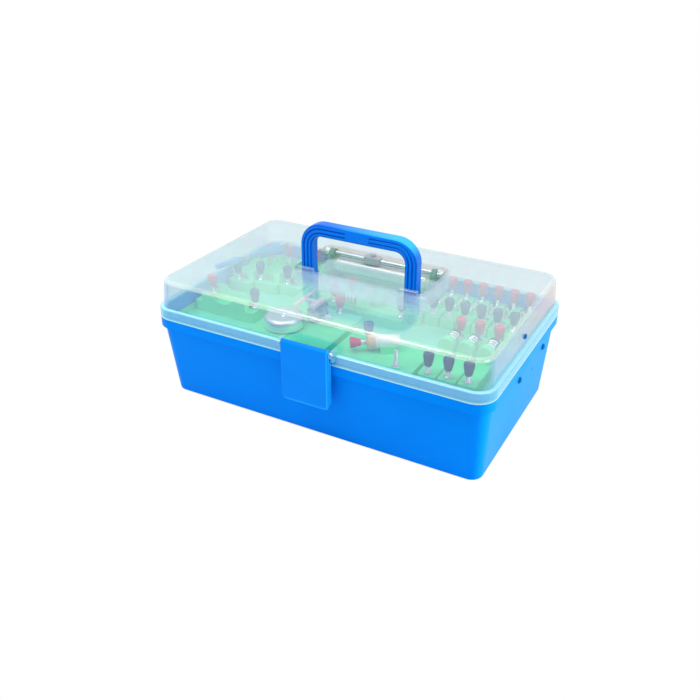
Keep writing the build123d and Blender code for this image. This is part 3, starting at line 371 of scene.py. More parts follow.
def shader_group(name, inputs, outputs):
    """A new group's graph, the sockets that it reads and the sockets that it fills."""
    tree = bpy.data.node_groups.new(name, "ShaderNodeTree")
    for label, value in {"Vector": (0.0, 0.0, 0.0), **inputs}.items():
        kind = "Float" if isinstance(value, float) else {3: "Vector", 4: "Color"}[len(value)]
        socket = tree.interface.new_socket(label, in_out="INPUT", socket_type=f"NodeSocket{kind}")
        socket.default_value = value
    for label in outputs:
        kind = "Color" if label == "Colour" else "Float"
        tree.interface.new_socket(label, in_out="OUTPUT", socket_type=f"NodeSocket{kind}")
    return Graph(tree), tree.nodes.new("NodeGroupInput").outputs, tree.nodes.new("NodeGroupOutput").inputs


def surface(g, given, out, colour, grain, uneven):
    """Feeds a surface's colour, its uneven gloss and its grain out of a group."""
    g.feed(colour, out["Colour"])
    g.feed(g.ramp(uneven, 0.3, 0.7, given["Rough low"], given["Rough high"]), out["Roughness"])
    g.feed(grain, out["Height"])
    return g.tree


def moulding_group():
    """The skin of moulded plastic: soft flow marks in its colour, a fine grain, and an uneven gloss."""
    g, given, out = shader_group("Moulded skin", {
        "Colour": GREY, "Flow colour": GREY, "Flow scale": 18.0, "Grain scale": 1800.0,
        "Rough low": 0.25, "Rough high": 0.4}, SURFACE)
    flow = g.noise(given["Vector"], given["Flow scale"], 4.0, distortion=1.4)
    grain = g.noise(given["Vector"], given["Grain scale"], 2.0)
    colour = g.mix(g.ramp(flow, 0.3, 0.72), given["Colour"], given["Flow colour"])
    return surface(g, given, out, colour, grain, g.plus(g.times(flow, 0.6), g.times(grain, 0.4)))


def mask(g, given, out, value):
    """Feeds a mask out of a group in the amount that is asked for."""
    g.feed(g.times(value, given["Amount"], True), out["Mask"])
    return g.tree


def scuff_group():
    """Fine handling scratches in crossing directions, as a mask."""
    g, given, out = shader_group("Handling scuffs", {"Scale": 60.0, "Amount": 0.5}, ("Mask",))
    lines = []
    for turn, stretch in ((0.5, 26.0), (2.1, 34.0)):
        streaks = g.add("Mapping", Vector=given["Vector"], Rotation=(turn * 0.6, turn * 0.9, turn),
                        Scale=(1.0, stretch, 3.0)).outputs["Vector"]
        lines.append(g.ramp(g.noise(streaks, given["Scale"], 2.0), 0.66, 0.74))
    patches = g.ramp(g.noise(given["Vector"], 22.0, 2.0), 0.45, 0.7)
    return mask(g, given, out, g.times(g.most(*lines), patches))


def dust_group():
    """Light dust that settles on upward faces, as a mask."""
    g, given, out = shader_group("Settled dust", {"Amount": 0.2}, ("Mask",))
    upward = g.ramp(g.split(g.add("NewGeometry").outputs["Normal"])["Z"], 0.35, 0.95)
    cloud = g.ramp(g.noise(given["Vector"], 40.0, 6.0, 0.65), 0.4, 0.75)
    specks = g.ramp(g.noise(given["Vector"], 900.0, 1.0), 0.62, 0.7)
    return mask(g, given, out, g.times(upward, g.most(cloud, specks)))


def metal_group():
    """Drawn or turned metal: a stretched grain, an uneven gloss and a slight tarnish."""
    g, given, out = shader_group("Metal finish", {
        "Colour": GREY, "Tarnish": GREY, "Stretch": (1.0, 1.0, 30.0), "Scale": 300.0,
        "Rough low": 0.15, "Rough high": 0.35, "Tarnish amount": 0.3}, SURFACE)
    drawn = g.add("Mapping", Vector=given["Vector"], Scale=given["Stretch"]).outputs["Vector"]
    grain = g.noise(drawn, given["Scale"], 3.0)
    cloud = g.ramp(g.noise(given["Vector"], 55.0, 5.0, 0.6), 0.5, 0.8)
    stain = g.times(cloud, given["Tarnish amount"], True)
    colour = g.mix(stain, given["Colour"], given["Tarnish"])
    return surface(g, given, out, colour, grain, g.plus(g.times(grain, 0.8), g.times(stain, 0.3)))


@cache
def group(maker):
    """A shared shader group, made when it is first asked for."""
    return maker()


# Materials

class Finish(Graph):
    """A material's graph, with plain values set on the sockets of its Principled shader."""

    def __init__(self, name, **plain):
        self.material = bpy.data.materials.new(name)
        self.material.use_nodes = True
        super().__init__(self.material.node_tree)
        self.shader = self.tree.nodes["Principled BSDF"]
        self.inputs = self.shader.inputs
        for key, value in plain.items():
            self.inputs[key.replace("_", " ")].default_value = value
        coordinates = self.add("TexCoord").outputs
        self.vector, self.normal = coordinates["Object"], coordinates["Normal"]

    def use(self, maker, **values):
        """Places a shared group in the material with its own values."""
        return self.add("Group", node_tree=group(maker), Vector=self.vector, **values).outputs

    def bump(self, height, distance, strength=1.0):
        """Feeds a height into the shader's normal."""
        normal = self.add("Bump", Strength=strength, Distance=distance, Height=height).outputs["Normal"]
        self.feed(normal, self.inputs["Normal"])
        return normal

    def tint(self, mask, colour):
        """Lays another colour over the material's own where a mask is."""
        base = self.inputs["Base Color"]
        self.feed(self.mix(mask, base.links[0].from_socket, colour), base)

    def cover(self, share, other):
        """Lays a share of another shader over the Principled one."""
        both = self.add("MixShader")
        for value, socket in zip((share, self.shader.outputs[0], other.outputs[0]), both.inputs):
            self.feed(value, socket)
        self.feed(both.outputs[0], self.tree.nodes["Material Output"].inputs["Surface"])


def plastic(name, colour, flow, rough, scuffs, dust, flow_scale=18.0, specular=0.22, grain_depth=0.00002):
    """Moulded plastic with flow marks, fine grain, scuffs and a little dust."""
    sheen = rgba([c / max(colour[:3]) for c in colour[:3]], 0.85, 0.15)
    g = Finish(name, Specular_IOR_Level=specular, Specular_Tint=sheen)
    skin = g.use(moulding_group, Colour=rgba(colour), Flow_colour=rgba(colour, flow), Flow_scale=flow_scale,
                 Rough_low=rough[0], Rough_high=rough[1])
    marks = g.use(scuff_group, Amount=scuffs)["Mask"]
    film = g.use(dust_group, Amount=dust)["Mask"]
    g.feed(skin["Colour"], g.inputs["Base Color"])
    g.tint(g.times(marks, 0.3), rgba(colour, 0.8, 0.12))
    g.tint(film, rgba(colour, 0.6, 0.25))
    worn = g.plus(skin["Roughness"], g.times(marks, 0.25))
    g.feed(g.plus(worn, g.times(film, 0.4), True), g.inputs["Roughness"])
    g.bump(skin["Height"], grain_depth)
    return g


def metal(name, colour, tarnish, stretch, rough, amount, scale=300.0):
    """Plated or bare metal with a drawn grain and slight tarnish."""
    g = Finish(name, Metallic=1.0)
    skin = g.use(metal_group, Colour=rgba(colour), Tarnish=rgba(tarnish) if tarnish else rgba(colour, 0.6),
                 Stretch=stretch, Scale=scale, Rough_low=rough[0], Rough_high=rough[1], Tarnish_amount=amount)
    marks = g.use(scuff_group, Amount=0.4)["Mask"]
    g.feed(skin["Colour"], g.inputs["Base Color"])
    g.feed(g.plus(skin["Roughness"], g.times(marks, 0.2), True), g.inputs["Roughness"])
    g.bump(skin["Height"], 0.00001)
    return g


def clear_lid(colour):
    """Clear plastic: a veil that thickens at grazing angles, a bright skirt, and painted highlights along its ledge,
    its brim and the rounded top edge of the dome.
    """
    g = Finish("Clear lid", IOR=1.5, Specular_IOR_Level=0.0)
    place = g.split(g.vector)
    level = g.calc("ABSOLUTE", g.split(g.normal)["Z"])
    skirt_top, ledge_foot, ledge_top, brim_top, dome_top = 0.1006, 0.0988, 0.1014, 0.0908, 0.116
    wall = g.ramp(level, 0.6, 0.3)
    far = g.ramp(place["Y"], -0.09, 0.09)
    skirt = g.ramp(place["Z"], skirt_top + 0.0006, skirt_top)
    ledge = g.times(g.ramp(level, 0.5, 0.8), g.between(place["Z"], ledge_foot, ledge_top, 0.0003))
    brim = g.ramp(place["Z"], brim_top + 0.0006, brim_top)
    # painted highlight: the rounded top edge of the dome, and more strongly its front, is picked out to show as a light
    # line
    crown = g.times(g.between(level, 0.35, 0.9, 0.1), g.ramp(place["Z"], dome_top - 0.004, dome_top))
    front = g.times(crown, g.ramp(place["Y"], -0.085, -0.095))
    # painted highlight: bright lines along the ledge and the lower brim of the skirt
    edge = g.most(g.times(ledge, 0.8), g.times(brim, 0.8))
    skin = g.use(moulding_group, Colour=rgba(colour), Flow_colour=rgba(colour, 0.92), Flow_scale=9.0,
                 Grain_scale=260.0, Rough_low=0.04, Rough_high=0.12)
    marks = g.use(scuff_group, Amount=0.6, Scale=45.0)["Mask"]
    film = g.use(dust_group, Amount=0.06)["Mask"]
    g.feed(skin["Colour"], g.inputs["Base Color"])
    g.tint(wall, g.mix(far, (0.26, 0.56, 0.92, 1), (0.74, 0.56, 0.54, 1)))
    # painted highlight: the dome's rounded top edge is tinted near-white
    g.tint(crown, (0.8, 0.95, 0.97, 1))
    g.tint(skirt, (0.16, 0.76, 1.0, 1))
    # painted highlight: the ledge and the brim are tinted near-white cyan
    g.tint(edge, (0.58, 1.0, 1.0, 1))
    rough = g.plus(skin["Roughness"], g.times(marks, 0.2), True)
    g.feed(rough, g.inputs["Roughness"])
    facing = g.add("LayerWeight", Blend=0.5).outputs["Facing"]
    veil = g.times(g.calc("POWER", facing, 2.0), 0.62)
    # the edge, crown and front shares thicken the pale veil there as painted highlights; the marks and film shares are
    # scuffs and dust
    for mask, amount in ((wall, 0.08), (skirt, 0.18), (edge, 0.44), (crown, 0.09), (front, 0.14), (marks, 0.05),
                         (film, 1.0)):
        veil = g.plus(veil, g.times(mask, amount))
    g.feed(g.plus(veil, 0.02, True), g.inputs["Alpha"])
    normal = g.bump(skin["Height"], 0.00004, 0.5)
    gloss = g.add("BsdfGlossy", Color=(0.92, 0.97, 1.0, 1.0), Roughness=rough, Normal=normal)
    g.cover(g.plus(g.times(g.calc("POWER", facing, 5.0), 0.9), 0.08), gloss)
    return g


def case_blue(colour):
    """The blue box, lighter on the wall that faces the lamp."""
    g = plastic("Box blue", colour, 0.93, (0.28, 0.42), 0.4, 0.03, 8.0, 0.03, 0.000015)
    # painted highlight: the wall that faces +X, toward the right lamp, is tinted a lighter blue
    g.tint(g.ramp(g.split(g.normal)["X"], 0.5, 0.95), (0.0, 0.40, 0.98, 1))
    return g


def grooved_blue(colour):
    """The blue handle, with painted shade in its grooves and along the edges of its front, a painted highlight on the
    right of its upper faces and painted shade on the left of them.
    """
    g = plastic("Handle blue", colour, 0.92, (0.16, 0.3), 0.4, 0.03, specular=0.3)
    place = g.split(g.vector)
    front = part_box("handle")[0][1]
    painted_groove_shade = g.between(place["Y"], front + 0.0003, front + 0.0012, 0.0002)
    # painted shade: faces 0.3 to 1.2 mm behind the front face, the groove floors and the front edges, are darkened
    g.tint(g.times(painted_groove_shade, 0.75), (0.0, 0.06, 0.55, 1))
    upper = g.ramp(g.split(g.normal)["Z"], 0.35, 0.75)
    # painted highlight: upward faces on the right of the handle are tinted light cyan
    g.tint(g.times(upper, g.ramp(place["X"], -0.03, 0.05)), (0.03, 0.50, 1.0, 1))
    # painted shade: upward faces on the left of the handle are darkened
    g.tint(g.times(upper, g.ramp(place["X"], -0.02, -0.06, 0.0, 0.7)), (0.0, 0.10, 0.62, 1))
    return g


def latch_blue(colour):
    """The blue latch, with painted highlights down its right side, along its lower lip and on a strip by its right
    edge.
    """
    g = plastic("Latch blue", colour, 0.93, (0.24, 0.38), 0.4, 0.04, specular=0.12)
    place = g.split(g.vector)
    low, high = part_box("latch")
    lit_side_highlight = g.ramp(g.split(g.normal)["X"], 0.5, 0.9)
    lip_highlight = g.ramp(place["Z"], low[2] + 0.0026, low[2] + 0.0008)
    right_ridge_highlight = g.between(place["X"], high[0] - 0.0024, high[0] - 0.0010, 0.0004)
    # painted highlights: the right side, the lower lip and the strip by the right edge are tinted a lighter blue
    g.tint(g.times(g.most(g.most(lit_side_highlight, lip_highlight), right_ridge_highlight), 0.75), (0.01, 0.42, 1.0, 1))
    return g


# Name, colour or its word in the sidebar, flow marks, roughness, scuffs, dust, scale of the marks, shine
PLASTICS = {
    "tray_green": ("Tray green", "tray", 0.8, (0.3, 0.5), 0.4, 0.12),
    "module_green": ("Module green", "module", 0.84, (0.22, 0.38), 0.4, 0.06),
    "knob_red": ("Red knobs", "red", 0.8, (0.2, 0.34), 0.3, 0.05, 90.0),
    "knob_black": ("Black knobs", "black", 0.7, (0.2, 0.36), 0.3, 0.05, 90.0),
    "plate_black": ("Black mouldings", "black", 0.7, (0.3, 0.5), 0.5, 0.1),
    "clip_blue": ("Blue boots", "clip", 0.8, (0.3, 0.45), 0.2, 0.05, 70.0, 0.2),
    # the can's near-white is partly its own white paint and partly a painted highlight for the light that lies across
    # it
    "motor_white": ("Painted can", (0.95, 0.93, 0.90), 0.92, (0.25, 0.4), 0.5, 0.1),
    "orange_cap": ("Orange cap", (0.95, 0.58, 0.36), 0.85, (0.3, 0.45), 0.4, 0.1, 120.0),
    "ceramic": ("Glazed rod", (0.50, 0.66, 0.42), 0.88, (0.12, 0.25), 0.2, 0.08, 160.0),
    "gasket": ("Insulating disc", (0.03, 0.03, 0.035), 0.7, (0.35, 0.5), 0.3, 0.1, 200.0),
    "striker_metal": ("Pale copper bar", (0.98, 0.68, 0.58), 0.85, (0.2, 0.35), 0.5, 0.05, 120.0, 0.6),
    "plate_teal": ("End brackets", (0.16, 0.38, 0.32), 0.8, (0.3, 0.5), 0.4, 0.1, 90.0),
    "slider_grey": ("Slider grey", (0.56, 0.56, 0.64), 0.85, (0.3, 0.5), 0.4, 0.1, 90.0),
    "vent_navy": ("Vent bushes", (0.0, 0.17, 0.50), 0.85, (0.3, 0.5), 0.3, 0.05, 150.0),
}
# Name, colour, tarnish, stretch of the grain, roughness, amount of tarnish, scale of the grain
METALS = {
    "nickel": ("Nickel plate", (0.82, 0.83, 0.86), None, (1.0, 1.0, 30.0), (0.1, 0.24), 0.15),
    # painted shade: a dark copy of the nickel for the socket shell, standing in for the shade between the bright thread
    # turns
    "nickel_dark": ("Nickel in the thread", (0.10, 0.14, 0.14), (0.05, 0.07, 0.07), (1.0, 1.0, 30.0), (0.35, 0.5), 0.5),
    "gong_metal": ("Turned gong", (0.94, 0.93, 0.98), (0.74, 0.73, 0.82), (1.0, 1.0, 60.0), (0.28, 0.42), 0.25, 240.0),
    "dull_steel": ("Dull steel", (0.46, 0.58, 0.57), (0.30, 0.38, 0.38), (1.0, 1.0, 12.0), (0.4, 0.6), 0.4),
    "rod_metal": ("Brushed rod", (0.88, 0.88, 0.92), (0.66, 0.66, 0.7), (1.0, 30.0, 30.0), (0.34, 0.5), 0.2),
    "steel": ("Drawn steel", (0.66, 0.67, 0.69), (0.4, 0.38, 0.36), (40.0, 1.0, 1.0), (0.2, 0.4), 0.4),
    "brass": ("Sheet brass", (0.79, 0.6, 0.27), (0.42, 0.3, 0.14), (1.0, 30.0, 1.0), (0.2, 0.36), 0.5),
    "copper": ("Copper strip", (0.90, 0.56, 0.44), (0.62, 0.34, 0.25), (1.0, 40.0, 1.0), (0.3, 0.45), 0.4),
    "winding": ("Enamelled wire", (0.24, 0.48, 0.45), (0.12, 0.26, 0.24), (1.0, 1.0, 1.0), (0.42, 0.6), 0.4),
    "resistance_wire": ("Resistance wire", (0.84, 0.84, 0.82), (0.62, 0.60, 0.58), (1.0, 1.0, 1.0), (0.3, 0.45), 0.4),
}
OWN = {"case_blue": (case_blue, "case"), "handle_blue": (grooved_blue, "handle"),
       "latch_blue": (latch_blue, "latch"), "lid_clear": (clear_lid, "lid")}


@cache
def material(name):
    if name in METALS:
        return metal(*METALS[name]).material
    colours = bpy.context.scene.kit_colours
    if name in OWN:
        maker, word = OWN[name]
        return maker(getattr(colours, word)).material
    label, colour, *rest = PLASTICS[name]
    return plastic(label, getattr(colours, colour) if isinstance(colour, str) else colour, *rest).material


# What a user would change

COLOUR = {"subtype": "COLOR", "size": 3, "min": 0, "max": 1}


class KitColours(bpy.types.PropertyGroup):
    case: FloatVectorProperty(name="Case", description="Blue of the base box", default=(0.0, 0.240, 0.92), **COLOUR)
    handle: FloatVectorProperty(name="Handle", description="Blue of the handle", default=(0.0, 0.190, 0.90), **COLOUR)
    latch: FloatVectorProperty(name="Latch", description="Blue of the latch", default=(0.0, 0.240, 0.92), **COLOUR)
    lid: FloatVectorProperty(name="Lid", description="Tint of the clear lid", default=(0.60, 0.84, 0.94), **COLOUR)
    tray: FloatVectorProperty(name="Tray", description="Green of the tray", default=(0.17, 0.92, 0.56), **COLOUR)
    module: FloatVectorProperty(name="Modules", description="Green of modules", default=(0.15, 0.96, 0.40), **COLOUR)
    red: FloatVectorProperty(name="Red knobs", description="Red of the knobs", default=(0.86, 0.03, 0.09), **COLOUR)
    black: FloatVectorProperty(name="Black knobs", description="Their black", default=(0.010, 0.024, 0.085), **COLOUR)
    clip: FloatVectorProperty(name="Clips", description="Blue of the clips", default=(0.03, 0.38, 0.85), **COLOUR)


class KitSizes(bpy.types.PropertyGroup):
    """Sizes of the small fittings."""
    thread_pitch: FloatProperty(name="Thread pitch", description="Between the turns of a post's thread",
                                default=0.0008, min=0.0003, max=0.002, unit="LENGTH")
    flute_depth: FloatProperty(name="Flute depth", description="Depth of the flutes round a terminal knob",
                               default=0.0004, min=0.0, max=0.001, unit="LENGTH")
    wire: FloatProperty(name="Resistance wire", description="Between the turns on the rheostat's tube",
                        default=0.0014, min=0.0008, max=0.004, unit="LENGTH")


class KitStage(bpy.types.PropertyGroup):
    """Where the camera stands and how strong the light is."""
    azimuth: FloatProperty(name="Azimuth", description="Turn of the camera about the case, from its front",
                           default=radians(28.3981), subtype="ANGLE")
    elevation: FloatProperty(name="Elevation", description="Height of the camera as an angle",
                             default=radians(28.9113), subtype="ANGLE")
    roll: FloatProperty(name="Roll", description="Tilt of the camera about its view",
                        default=radians(0.215), subtype="ANGLE")
    distance: FloatProperty(name="Distance", description="From the camera to the point it looks at",
                            default=0.830475, unit="LENGTH")
    target: FloatVectorProperty(name="Target", description="The point the camera looks at", size=3,
                                default=(-0.001484, -0.018850, 0.054029), subtype="TRANSLATION")
    lens: FloatProperty(name="Lens", description="Focal length on a 36 mm sensor, in millimetres", default=41.377)
    daylight: FloatProperty(name="Daylight", description="Strength of the even light", default=0.8, min=0.0)
    softbox: FloatProperty(name="Softbox", description="Power of the lamps", default=4.5, min=0.0, subtype="POWER")


# Operators

class KitOperator(bpy.types.Operator):
    bl_options = {"REGISTER", "UNDO"}


class KIT_OT_case(KitOperator):
    """Finish the base box and its hinges"""
    bl_idname = "kit.case"
    bl_label = "Base box"

    def execute(self, context):
        smoothed("case_blue", "base_box")
        smoothed("steel", "hinge_pins")
        self.vents()
        return {"FINISHED"}

    def vents(self):
        """A dark bush with a rolled rim in each hole of the right wall, square to the wall there."""
        bushes = Solid()
        for y, z in VENTS:
            near = [v.co / MM for v in frame["nodes"]["base_box"].data.vertices
                    if v.co.x > 0 and hypot(v.co.y / MM - y, v.co.z / MM - z) < 2.5]
            top = max((co for co in near if co.z > z + 1.2), key=lambda co: co.x)
            foot = max((co for co in near if co.z < z - 1.2), key=lambda co: co.x)
            lean = atan2(top.x - foot.x, top.z - foot.z)
            turn = Matrix.Rotation(lean, 4, "Y") @ lying("X")
            bushes.spin([(0, -0.6), (0.9, -0.4), (1.2, 0.9), (1.5, 1.7), (2.1, 2.0), (2.7, 1.7), (3.1, 1.0),
                         (3.3, -0.2), (1.65, -0.2), (1.65, -1.6), (0, -1.6)], 28, at((top.x + foot.x) / 2, y, z, turn))
        bushes.finish("vent_bushes", "vent_navy", "base_box", slot_of("base_box"))


class KIT_OT_lid(KitOperator):
    """Finish the clear lid and its pins"""
    bl_idname = "kit.lid"
    bl_label = "Clear lid"

    def execute(self, context):
        smoothed("lid_clear", "lid")
        turned("lid_rivet", "vent_navy", "lid", at(*RIVET, lying("X")),
               [(0, -0.6), (2.3, -0.6), (2.5, 0.4), (2.3, 1.2), (1.5, 1.8), (0.6, 1.9), (0, 1.7)],
               28, slot_of("latch"))
        smoothed("steel", "handle_pins", "latch_pin")
        return {"FINISHED"}


class KIT_OT_handle(KitOperator):
    """Finish the folding handle"""
    bl_idname = "kit.handle"
    bl_label = "Handle"

    def execute(self, context):
        smoothed("handle_blue", "handle")
        return {"FINISHED"}


class KIT_OT_latch(KitOperator):
    """Finish the front latch"""
    bl_idname = "kit.latch"
    bl_label = "Latch"

    def execute(self, context):
        smoothed("latch_blue", "latch")
        return {"FINISHED"}


class KIT_OT_tray(KitOperator):
    """Finish the lift-out tray"""
    bl_idname = "kit.tray"
    bl_label = "Tray"

    def execute(self, context):
        smoothed("tray_green", "tray")
        return {"FINISHED"}


class KIT_OT_batteries(KitOperator):
    """Finish the battery holders, with their contact strips and springs"""
    bl_idname = "kit.batteries"
    bl_label = "Battery holders"

    def execute(self, context):
        holders = [f"battery_holder_{number}" for number in (1, 2, 3, 4)]
        smoothed("module_green", *holders)
        smoothed("brass", "battery_contacts")
        springs = Solid()
        gap = 1.4
        for low, high in map(ends, holders):
            strips = [m for m in middles("battery_contacts") if low.x < m.x < high.x and low.y < m.y < high.y]
            first = min(strips, key=lambda m: m.x + m.y)
            turn = lying("X" if high.x - low.x > high.y - low.y else "Y")
            for step in range(3):
                springs.helix(rim(5.2 - 1.1 * step, 0, (0.3, 0), (0, 0.3), (-0.3, 0), (0, -0.3)), 1.0, gap, 20,
                              at(*first, turn @ at(0, 0, (0.5 + step) * gap)))
        springs.finish("battery_springs", "steel", "battery_contacts", "contact_brass")
        return {"FINISHED"}


class KIT_OT_lamps(KitOperator):
    """Finish the lamp holders and their screw sockets"""
    bl_idname = "kit.lamps"
    bl_label = "Lamp holders"

    def execute(self, context):
        for number in (1, 2, 3, 4, 5):
            smoothed("module_green", f"lamp_base_{number}")
            node = f"lamp_socket_{number}"
            self.socket(node, *(barrel(node, "Y") if number < 4 else barrel(node, "X", -1)))
        return {"FINISHED"}

    def socket(self, node, radius, length, foot):
        """One screw shell with its wound thread, insulating disc and centre contact."""
        wall, floor = radius - 0.6, 1.2
        # the shell takes the darkened nickel as painted shade in the valleys of the thread; the raised thread is the
        # bright nickel
        turned(f"{node}_shell", "nickel_dark", node, foot, [
            (0, 0), (wall - 0.2, 0), (wall, 0.2), *rim(wall, length, (0, -0.5), (0.35, -0.3), (0.35, 0), (-0.6, 0)),
            (wall - 0.6, floor), (0, floor)], 40)
        thread = Solid()
        thread.helix(rim(wall, 0, (-0.1, -1.5), (0.4, -1.0), (0.6, -0.4), (0.6, 0.4), (0.4, 1.0), (-0.1, 1.5)),
                     3.6, length / 4.6, 36, foot @ at(0, 0, 2.0))
        thread.finish(f"{node}_thread", "nickel", node, slot_of(node))
        turned(f"{node}_disc", "gasket", node, foot,
               [(1.5, floor), (wall - 0.7, floor), (wall - 0.7, 2.0), (1.7, 2.2), (1.5, 2.0)], 32, "black_plastic")
        turned(f"{node}_contact", "brass", node, foot, [(1.4, floor), (1.4, 2.4), (1.0, 2.8), (0, 2.9)],
               24, "contact_brass")


class KIT_OT_resistors(KitOperator):
    """Finish the fixed resistors"""
    bl_idname = "kit.resistors"
    bl_label = "Resistors"

    def execute(self, context):
        for number in (1, 2, 3):
            smoothed("module_green", f"resistor_base_{number}")
            node = f"resistor_tube_{number}"
            radius, length, foot = barrel(node, "Y")
            body, cap = radius - 0.35, 3.4
            turned(f"{node}_rod", "ceramic", node, foot, [
                (0, cap), (body, cap), (body, 5.2), (body - 0.25, 5.5),
                *rim(body, length, (-0.25, -5.5), (0, -5.2), (0, -cap)), (0, length - cap)])
            caps = Solid()
            for start, way in ((0, 1), (length, -1)):
                caps.spin([(0, start), (radius - 0.4, start), (radius, start + way * 0.4), (radius, start + way * 3.2),
                           (radius - 0.3, start + way * 3.7), (0, start + way * 3.7)], 32, foot)
            caps.finish(f"{node}_caps", "nickel", node, "bright_metal")
        return {"FINISHED"}


class KIT_OT_switches(KitOperator):
    """Finish the knife switches"""
    bl_idname = "kit.switches"
    bl_label = "Knife switches"

    def execute(self, context):
        for number in (1, 2, 3):
            smoothed("module_green", f"switch_base_{number}")
            smoothed("copper", f"switch_blade_{number}")
            node = f"switch_grip_{number}"
            radius, length, foot = barrel(node, "Y")
            profile = [(0, 0), (radius - 0.6, 0), (radius, 1.6)]
            for step in range(4):
                profile += rim(radius, 2.0 + 1.1 * step, (0, 0), (-0.3, 0.2), (-0.3, 0.5), (0, 0.7))
            profile += [*rim(radius, length, (0, -1.2), (-0.4, -0.4), (-1, 0)), (0, length)]
            turned(f"{node}_skin", "knob_black", node, foot, profile, 28)
        smoothed("nickel", "switch_clips")
        return {"FINISHED"}


class KIT_OT_bell(KitOperator):
    """Finish the bell, with its wound coils"""
    bl_idname = "kit.bell"
    bl_label = "Bell"

    def execute(self, context):
        smoothed("module_green", "bell_base")
        smoothed("nickel", "bell_gong_screw")
        smoothed("dull_steel", "bell_yoke")
        smoothed("striker_metal", "bell_striker")
        self.gong()
        self.coils()
        self.post()
        return {"FINISHED"}

    def gong(self):
        """A spun gong with a rolled rim, a stepped crown and fine turning marks."""
        place, radius, foot, top = upright(*ends("bell_gong"))
        bore, bend = 1.55, 3.9
        profile = [(bore, top - 1.2), (bore, top), (6.0, top)]
        for step in range(1, 7):
            profile += rim(6.5 + 1.3 * step, top - 0.02 * step, (-0.25, 0), (0, -0.05))
        for step in range(7):
            angle = radians(15 * step)
            profile.append((radius - 4 + bend * sin(angle), top - 4 + bend * cos(angle)))
        profile += rim(radius, top, (-0.1, -7.4), (-0.35, -7.8), (-0.1, -8.2))
        profile += rim(radius, foot, (-0.1, 1.0), (0, 0.6), (0, 0.3), (-0.4, 0), (-0.9, 0.2), (-1.2, 0.7))
        profile += rim(radius, top, (-1.2, -4.2), (-2.4, -2.0), (-4.5, -1.2))
        profile += [(4.5, top - 1.2), (4.5, top - 2.6), (bore, top - 2.6), (bore, top - 1.2)]
        turned("bell_gong_skin", "gong_metal", "bell_gong", place, profile, 96, angle=50)

    def coils(self):
        """Two spools, each wound with rows of wire between black cheeks."""
        wire, cheeks = Solid(), Solid()
        core, cheek = 2.6, 1.0
        for low, high in solids("bell_coils"):
            place, radius, foot, top = upright(low, high)
            room = top - foot - 2 * cheek
            rows = int(room / 0.75)
            profile = [(core, foot + cheek), (radius - 1.2, foot + cheek)]
            for row in range(rows):
                profile += rim(radius, foot + cheek + row * room / rows,
                               (-1.0, 0.2), (-0.8, 0.38), (-1.0, 0.56), (-1.2, 0.74))
            wire.spin(profile + [(core, top - cheek)], 36, place)
            for start in (foot, top - cheek):
                cheeks.spin([(2.3, start), *rim(radius, start, (-0.2, 0), (0, 0.2), (0, 0.8), (-0.2, cheek)),
                             (2.3, start + cheek), (2.3, start)], 36, place)
        wire.finish("bell_coils_wire", "winding", "bell_coils")
        cheeks.finish("bell_coils_cheeks", "plate_black", "bell_coils", "black_plastic")

    def post(self):
        """The round contact post with a knurled head and a shallow round recess in its top."""
        place, radius, foot, top = upright(*ends("bell_contact_post"))
        turned("bell_contact_post_skin", "nickel", "bell_contact_post", place, [
            (0, foot), (2.4, foot), (2.4, foot + 6.8), (radius - 0.3, foot + 6.8), (radius, foot + 7.2),
            (radius, top - 1.2), (radius - 0.8, top), (1.4, top), (1.2, top - 0.5), (0, top - 0.5)],
            96, flutes=(24, 0.25, foot + 7.0, top - 0.5))


class KIT_OT_rheostat(KitOperator):
    """Finish the slide rheostat, with its winding"""
    bl_idname = "kit.rheostat"
    bl_label = "Rheostat"

    def execute(self, context):
        smoothed("plate_teal", "rheostat_end_plates")
        smoothed("slider_grey", "rheostat_slider")
        self.winding(context.scene.kit_sizes.wire / MM)
        self.rod()
        return {"FINISHED"}

    def winding(self, pitch):
        """The tube with its turns of resistance wire, and a bare margin at each end."""
        radius, length, foot = barrel("rheostat_tube", "X")
        bore, outer, margin = 5.5, radius - 0.7, 4.0
        turned("rheostat_tube_core", "ceramic", "rheostat_tube", foot,
               [(bore, 0), (outer, 0), (outer, length), (bore, length), (bore, 0)], 40, "ceramic_tube")
        turns = int((length - 2 * margin) / pitch)
        profile = [(radius - 0.9, margin)]
        for turn in range(turns):
            profile += [(radius - dip, margin + turn * pitch + share * pitch)
                        for dip, share in ((0.6, 0.05), (0.1, 0.25), (0, 0.45), (0.1, 0.65), (0.6, 0.85))]
        profile.append((radius - 0.9, margin + turns * pitch))
        turned("rheostat_tube_wire", "resistance_wire", "rheostat_tube", foot, profile, 36, angle=60)

    def rod(self):
        """The guide rod and the knurled nut at each of its ends."""
        radius, length, foot = barrel("rheostat_rod", "X")
        nut, inner = 7.5, 2.2
        rod = Solid()
        rod.spin([(0, nut - 0.5), (inner, nut - 0.5), (inner, length - nut + 0.5), (0, length - nut + 0.5)], 32, foot)
        for start in (0.0, length - nut):
            rod.spin([(0, start), (radius - 1.0, start), (radius, start + 0.8), (radius, start + nut - 0.8),
                      (radius - 0.6, start + nut), (0, start + nut)],
                     72, foot, (18, 0.35, start + 0.3, start + nut - 0.2))
        rod.finish("rheostat_rod_skin", "rod_metal", "rheostat_rod")


